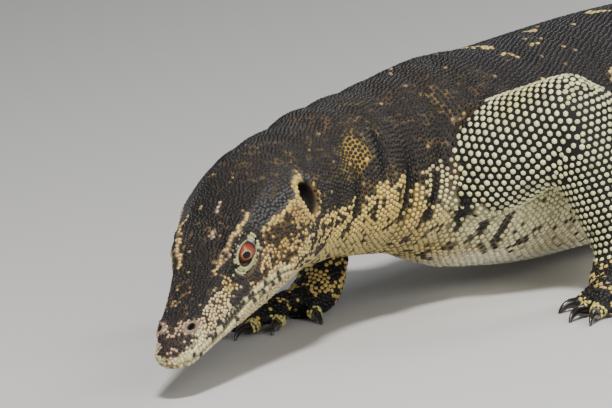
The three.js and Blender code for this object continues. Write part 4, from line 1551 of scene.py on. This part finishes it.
def claws_mesh(name, leg, material, draw):
    """The claws of a foot, near black, with warmer streaks, undersides and tips."""
    tubes = [claw_rings(line) for line in leg.digit_lines]
    obj = mesh_object(name, *joined(tubes), material)
    tints = []
    for rings in tubes:
        streak = draw.uniform(0, 1, CLAW_SIDES) ** 2
        under = np.exp(-(((np.arange(CLAW_SIDES) / CLAW_SIDES - 0.75) / 0.1) ** 2))
        share = np.linspace(0, 1, len(rings))[:, None]
        warm = 0.16 * streak[None] + 0.25 * under[None] * (1 - share) + 0.3 * share**6
        warm = np.clip(warm, 0, 1)[..., None]
        tint = (srgb(20, 19, 20) * (1 - warm) + srgb(104, 84, 64) * warm).reshape(-1, 3)
        tints += [tint, tint[:1], tint[-1:]]
    set_tint(obj.data, np.concatenate(tints))
    return obj


# Materials
def set_inputs(tree, node, inputs):
    """Links a node's inputs to other nodes' outputs, or sets them to plain values."""
    for key, value in inputs.items():
        if isinstance(value, bpy.types.NodeSocket):
            tree.links.new(value, node.inputs[key])
        else:
            node.inputs[key].default_value = value


def add_node(tree, kind, inputs=None, **settings):
    node = tree.nodes.new("ShaderNode" + kind)
    for name, value in settings.items():
        setattr(node, name, value)
    set_inputs(tree, node, inputs or {})
    return node


def new_material(name):
    material = bpy.data.materials.new(name)
    material.use_nodes = True
    return material, material.node_tree, material.node_tree.nodes["Principled BSDF"]


def add_noise(tree, scale, detail, roughness):
    """Noise laid out in the object's own space."""
    place = add_node(tree, "TexCoord").outputs["Object"]
    inputs = {"Vector": place, "Scale": scale, "Detail": detail, "Roughness": roughness}
    return add_node(tree, "TexNoise", inputs).outputs["Fac"]


def spread(tree, value, low, high, first=0.0, last=1.0):
    """A value between first and last, spread out from low to high."""
    inputs = {"Value": value, "From Min": first, "From Max": last, "To Min": low, "To Max": high}
    return add_node(tree, "MapRange", inputs).outputs["Result"]


def bumps(tree, height, strength, distance):
    inputs = {"Height": height, "Strength": strength, "Distance": distance}
    return add_node(tree, "Bump", inputs).outputs["Normal"]


def scaly_material(name, roughness, grain, strength, coat=0.0):
    """A surface that takes its colour from the markings, with a fine grain over it."""
    material, tree, shader = new_material(name)
    tint = add_node(tree, "Attribute", attribute_name="Tint").outputs["Color"]
    noise = add_noise(tree, grain, 4, 0.65)
    shade = {0: tint, "Scale": spread(tree, noise, 0.72, 1.22, 0.3, 0.7)}
    looks = {
        "Base Color": add_node(tree, "VectorMath", shade, operation="SCALE").outputs["Vector"],
        "Roughness": spread(tree, noise, roughness - 0.1, roughness + 0.14),
        "Normal": bumps(tree, noise, strength, 0.0004),
        "Specular IOR Level": 0.3,
        "Coat Weight": coat,
        "Coat Roughness": 0.25,
    }
    set_inputs(tree, shader, looks)
    return material


# The eye's colours from the middle of the pupil out, at shares of ten millimetres.
EYE_RINGS = (
    (0.0, (7, 6, 6)),
    (0.24, (9, 7, 7)),
    (0.255, (196, 164, 122)),
    (0.285, (156, 102, 70)),
    (0.36, (138, 72, 52)),
    (0.5, (116, 54, 40)),
    (0.57, (78, 34, 28)),
    (0.61, (28, 18, 16)),
    (1.0, (40, 32, 28)),
)


def eye_material():
    """Rings of colour from the pupil out, with fine fibres, under a wet cornea."""
    material, tree, shader = new_material("eye")
    reach = add_node(tree, "Attribute", attribute_name="Reach").outputs["Fac"]
    noise = add_noise(tree, 1500, 5, 0.5)
    wander = add_node(tree, "Math", {0: noise, 1: 0.7, 2: reach}, operation="MULTIPLY_ADD")
    share = add_node(tree, "Math", {0: wander.outputs["Value"], 1: 0.1}, operation="MULTIPLY")
    ramp = add_node(tree, "ValToRGB", {"Fac": share.outputs["Value"]})
    stops = ramp.color_ramp.elements
    for place, colour in EYE_RINGS:
        stops.new(place).color = (*srgb(*colour), 1)
    stops.remove(stops[-1])
    looks = {
        "Base Color": ramp.outputs["Color"],
        "Roughness": spread(tree, noise, 0.04, 0.14),
        "Normal": bumps(tree, noise, 0.04, 0.0002),
        "Specular IOR Level": 0.25,
        "Coat Weight": 0.2,
        "Coat Roughness": 0.03,
    }
    set_inputs(tree, shader, looks)
    return material


SKIN = scaly_material("skin", 0.6, 1600, 0.7)
SCALE = scaly_material("scale", 0.34, 2400, 0.25, coat=0.16)
HORN = scaly_material("claw", 0.2, 700, 0.15, coat=0.8)
EYE = eye_material()


# The floor, the lights and the camera
def add_floor():
    bpy.ops.mesh.primitive_plane_add(size=14, location=(0, 0, -0.0002))
    floor = bpy.context.object
    floor.name = "floor"
    material, tree, shader = new_material("floor")
    noise = add_node(tree, "TexNoise", {"Scale": 3}).outputs["Fac"]
    looks = {"Base Color": (0.62, 0.61, 0.59, 1), "Roughness": spread(tree, noise, 0.75, 0.95)}
    set_inputs(tree, shader, looks)
    floor.data.materials.append(material)


def add_light(name, target, off, size, power, colour=(1, 1, 1)):
    """A round soft light, off from its target in metres and turned towards it."""
    data = bpy.data.lights.new(name, "AREA")
    data.shape = "DISK"
    data.size = size
    data.energy = power
    data.color = colour
    light = placed(name, data)
    light.location = target + Vector(off)
    light.rotation_euler = (target - light.location).to_track_quat("-Z", "Y").to_euler()


def add_lights():
    chest = Vector(to_metres((0, -30, 60)))
    add_light("key", chest, (1.0, -1.0, 1.9), 0.4, 66, (1, 0.985, 0.96))
    add_light("fill", chest, (2.2, -0.9, 0.8), 1.5, 34, (0.96, 0.98, 1))
    add_light("back", chest, (0.4, 2.6, 1.8), 1.4, 34)
    world = bpy.data.worlds.new("room")
    bpy.context.scene.world = world
    world.use_nodes = True
    looks = {"Color": (0.78, 0.82, 0.88, 1), "Strength": 0.24}
    set_inputs(world.node_tree, world.node_tree.nodes["Background"], looks)


# The photo's view: its direction and roll in degrees, how far off it is in millimetres, its
# lens, and the place in the picture of the point AIM of the body.
VIEW_ROUND, VIEW_UP, VIEW_ROLL = 43.0, 8.2, 6.8
VIEW_FAR, VIEW_LENS = 2700.0, 301.2
AIM, AIM_AT = np.array([0.0, 0.0, 67.0]), (438.3, 167.3)
FRAME_WIDE, FRAME_TALL = 612, 408
SENSOR_WIDE = 36


def add_camera():
    turn, rise, roll = (math.radians(v) for v in (VIEW_ROUND, VIEW_UP, VIEW_ROLL))
    level_off, high_off = math.cos(rise), math.sin(rise)
    towards = np.array([math.sin(turn) * level_off, -math.cos(turn) * level_off, high_off])
    level = np.array([math.cos(turn), math.sin(turn), 0.0])
    upright = np.cross(towards, level)
    right = level * math.cos(roll) - upright * math.sin(roll)
    above = upright * math.cos(roll) + level * math.sin(roll)
    eye = AIM + towards * VIEW_FAR
    pixels = VIEW_LENS / SENSOR_WIDE * FRAME_WIDE
    dx, dy = FRAME_WIDE / 2 - AIM_AT[0], FRAME_TALL / 2 - AIM_AT[1]
    ahead = unit(-towards + right * dx / pixels - above * dy / pixels)
    right = square_to(right, ahead)
    above = np.cross(right, ahead)
    data = bpy.data.cameras.new("photo view")
    data.lens = VIEW_LENS
    data.sensor_width = SENSOR_WIDE
    data.clip_end = 50
    camera = placed("photo view", data)
    axes = Matrix(np.stack([right, above, -ahead], axis=1).tolist())
    camera.matrix_world = Matrix.Translation(Vector(to_metres(eye))) @ axes.to_4x4()
    bpy.context.scene.camera = camera


add_camera()
add_floor()
add_lights()
skin = placed("skin", skin_mesh())
skin.data.name = "skin"
skin.data.materials.clear()
skin.data.materials.append(SKIN)
draw = np.random.default_rng(11)
seats, hosts, nearest = all_seats(Skin(skin.data), draw)
middles = bake_place(seats, hosts)
colours, _ = markings(seats[:, POINT], hosts, *seats.T[[PLACE, ANGLE]], draw.random(len(seats)))
colours = colours * draw.uniform(0.82, 1.14, (len(seats), 1))
like = seats[nearest].T[[PLACE, ANGLE]]
_, gaps = markings(mesh_points(skin.data), hosts[nearest], *like, draw.random(len(nearest)))
set_tint(skin.data, gaps)


def between(values, low, high):
    return (values >= low) & (values < high)


along_body = np.where(hosts == BODY, seats[:, PLACE], -1)
PIECES = (
    ("head_scales", between(along_body, 0, 128), 8),
    ("neck_scales", between(along_body, 128, 330), 6),
    ("chest_scales", between(along_body, 330, 530), 6),
    ("loin_scales", between(along_body, 530, 760), 6),
    ("tail_scales", along_body >= 760, 6),
    ("fore_leg_scales", between(hosts, 0, 2 * PARTS), 6),
    ("hind_leg_scales", hosts >= 2 * PARTS, 6),
)
for name, chosen, sides in PIECES:
    coat = scale_mesh(name, seats[chosen], middles[chosen], colours[chosen], sides, SCALE, draw)
    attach(coat, "root")
for side, word in ((1, "left"), (-1, "right")):
    eye = eye_mesh("eyeball_" + word, side, EYE)
    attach(eye, "root")
    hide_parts("eye_" + word)
for leg in LEGS:
    claws = claws_mesh(leg.name + "_claws", leg, HORN, draw)
    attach(claws, "root")
    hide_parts(*(f"{leg.name}_claw_{i + 1}" for i in range(5)))
FLESH = [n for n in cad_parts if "claw" not in n and not n.startswith("eye")]
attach(skin, "root")
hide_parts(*FLESH)
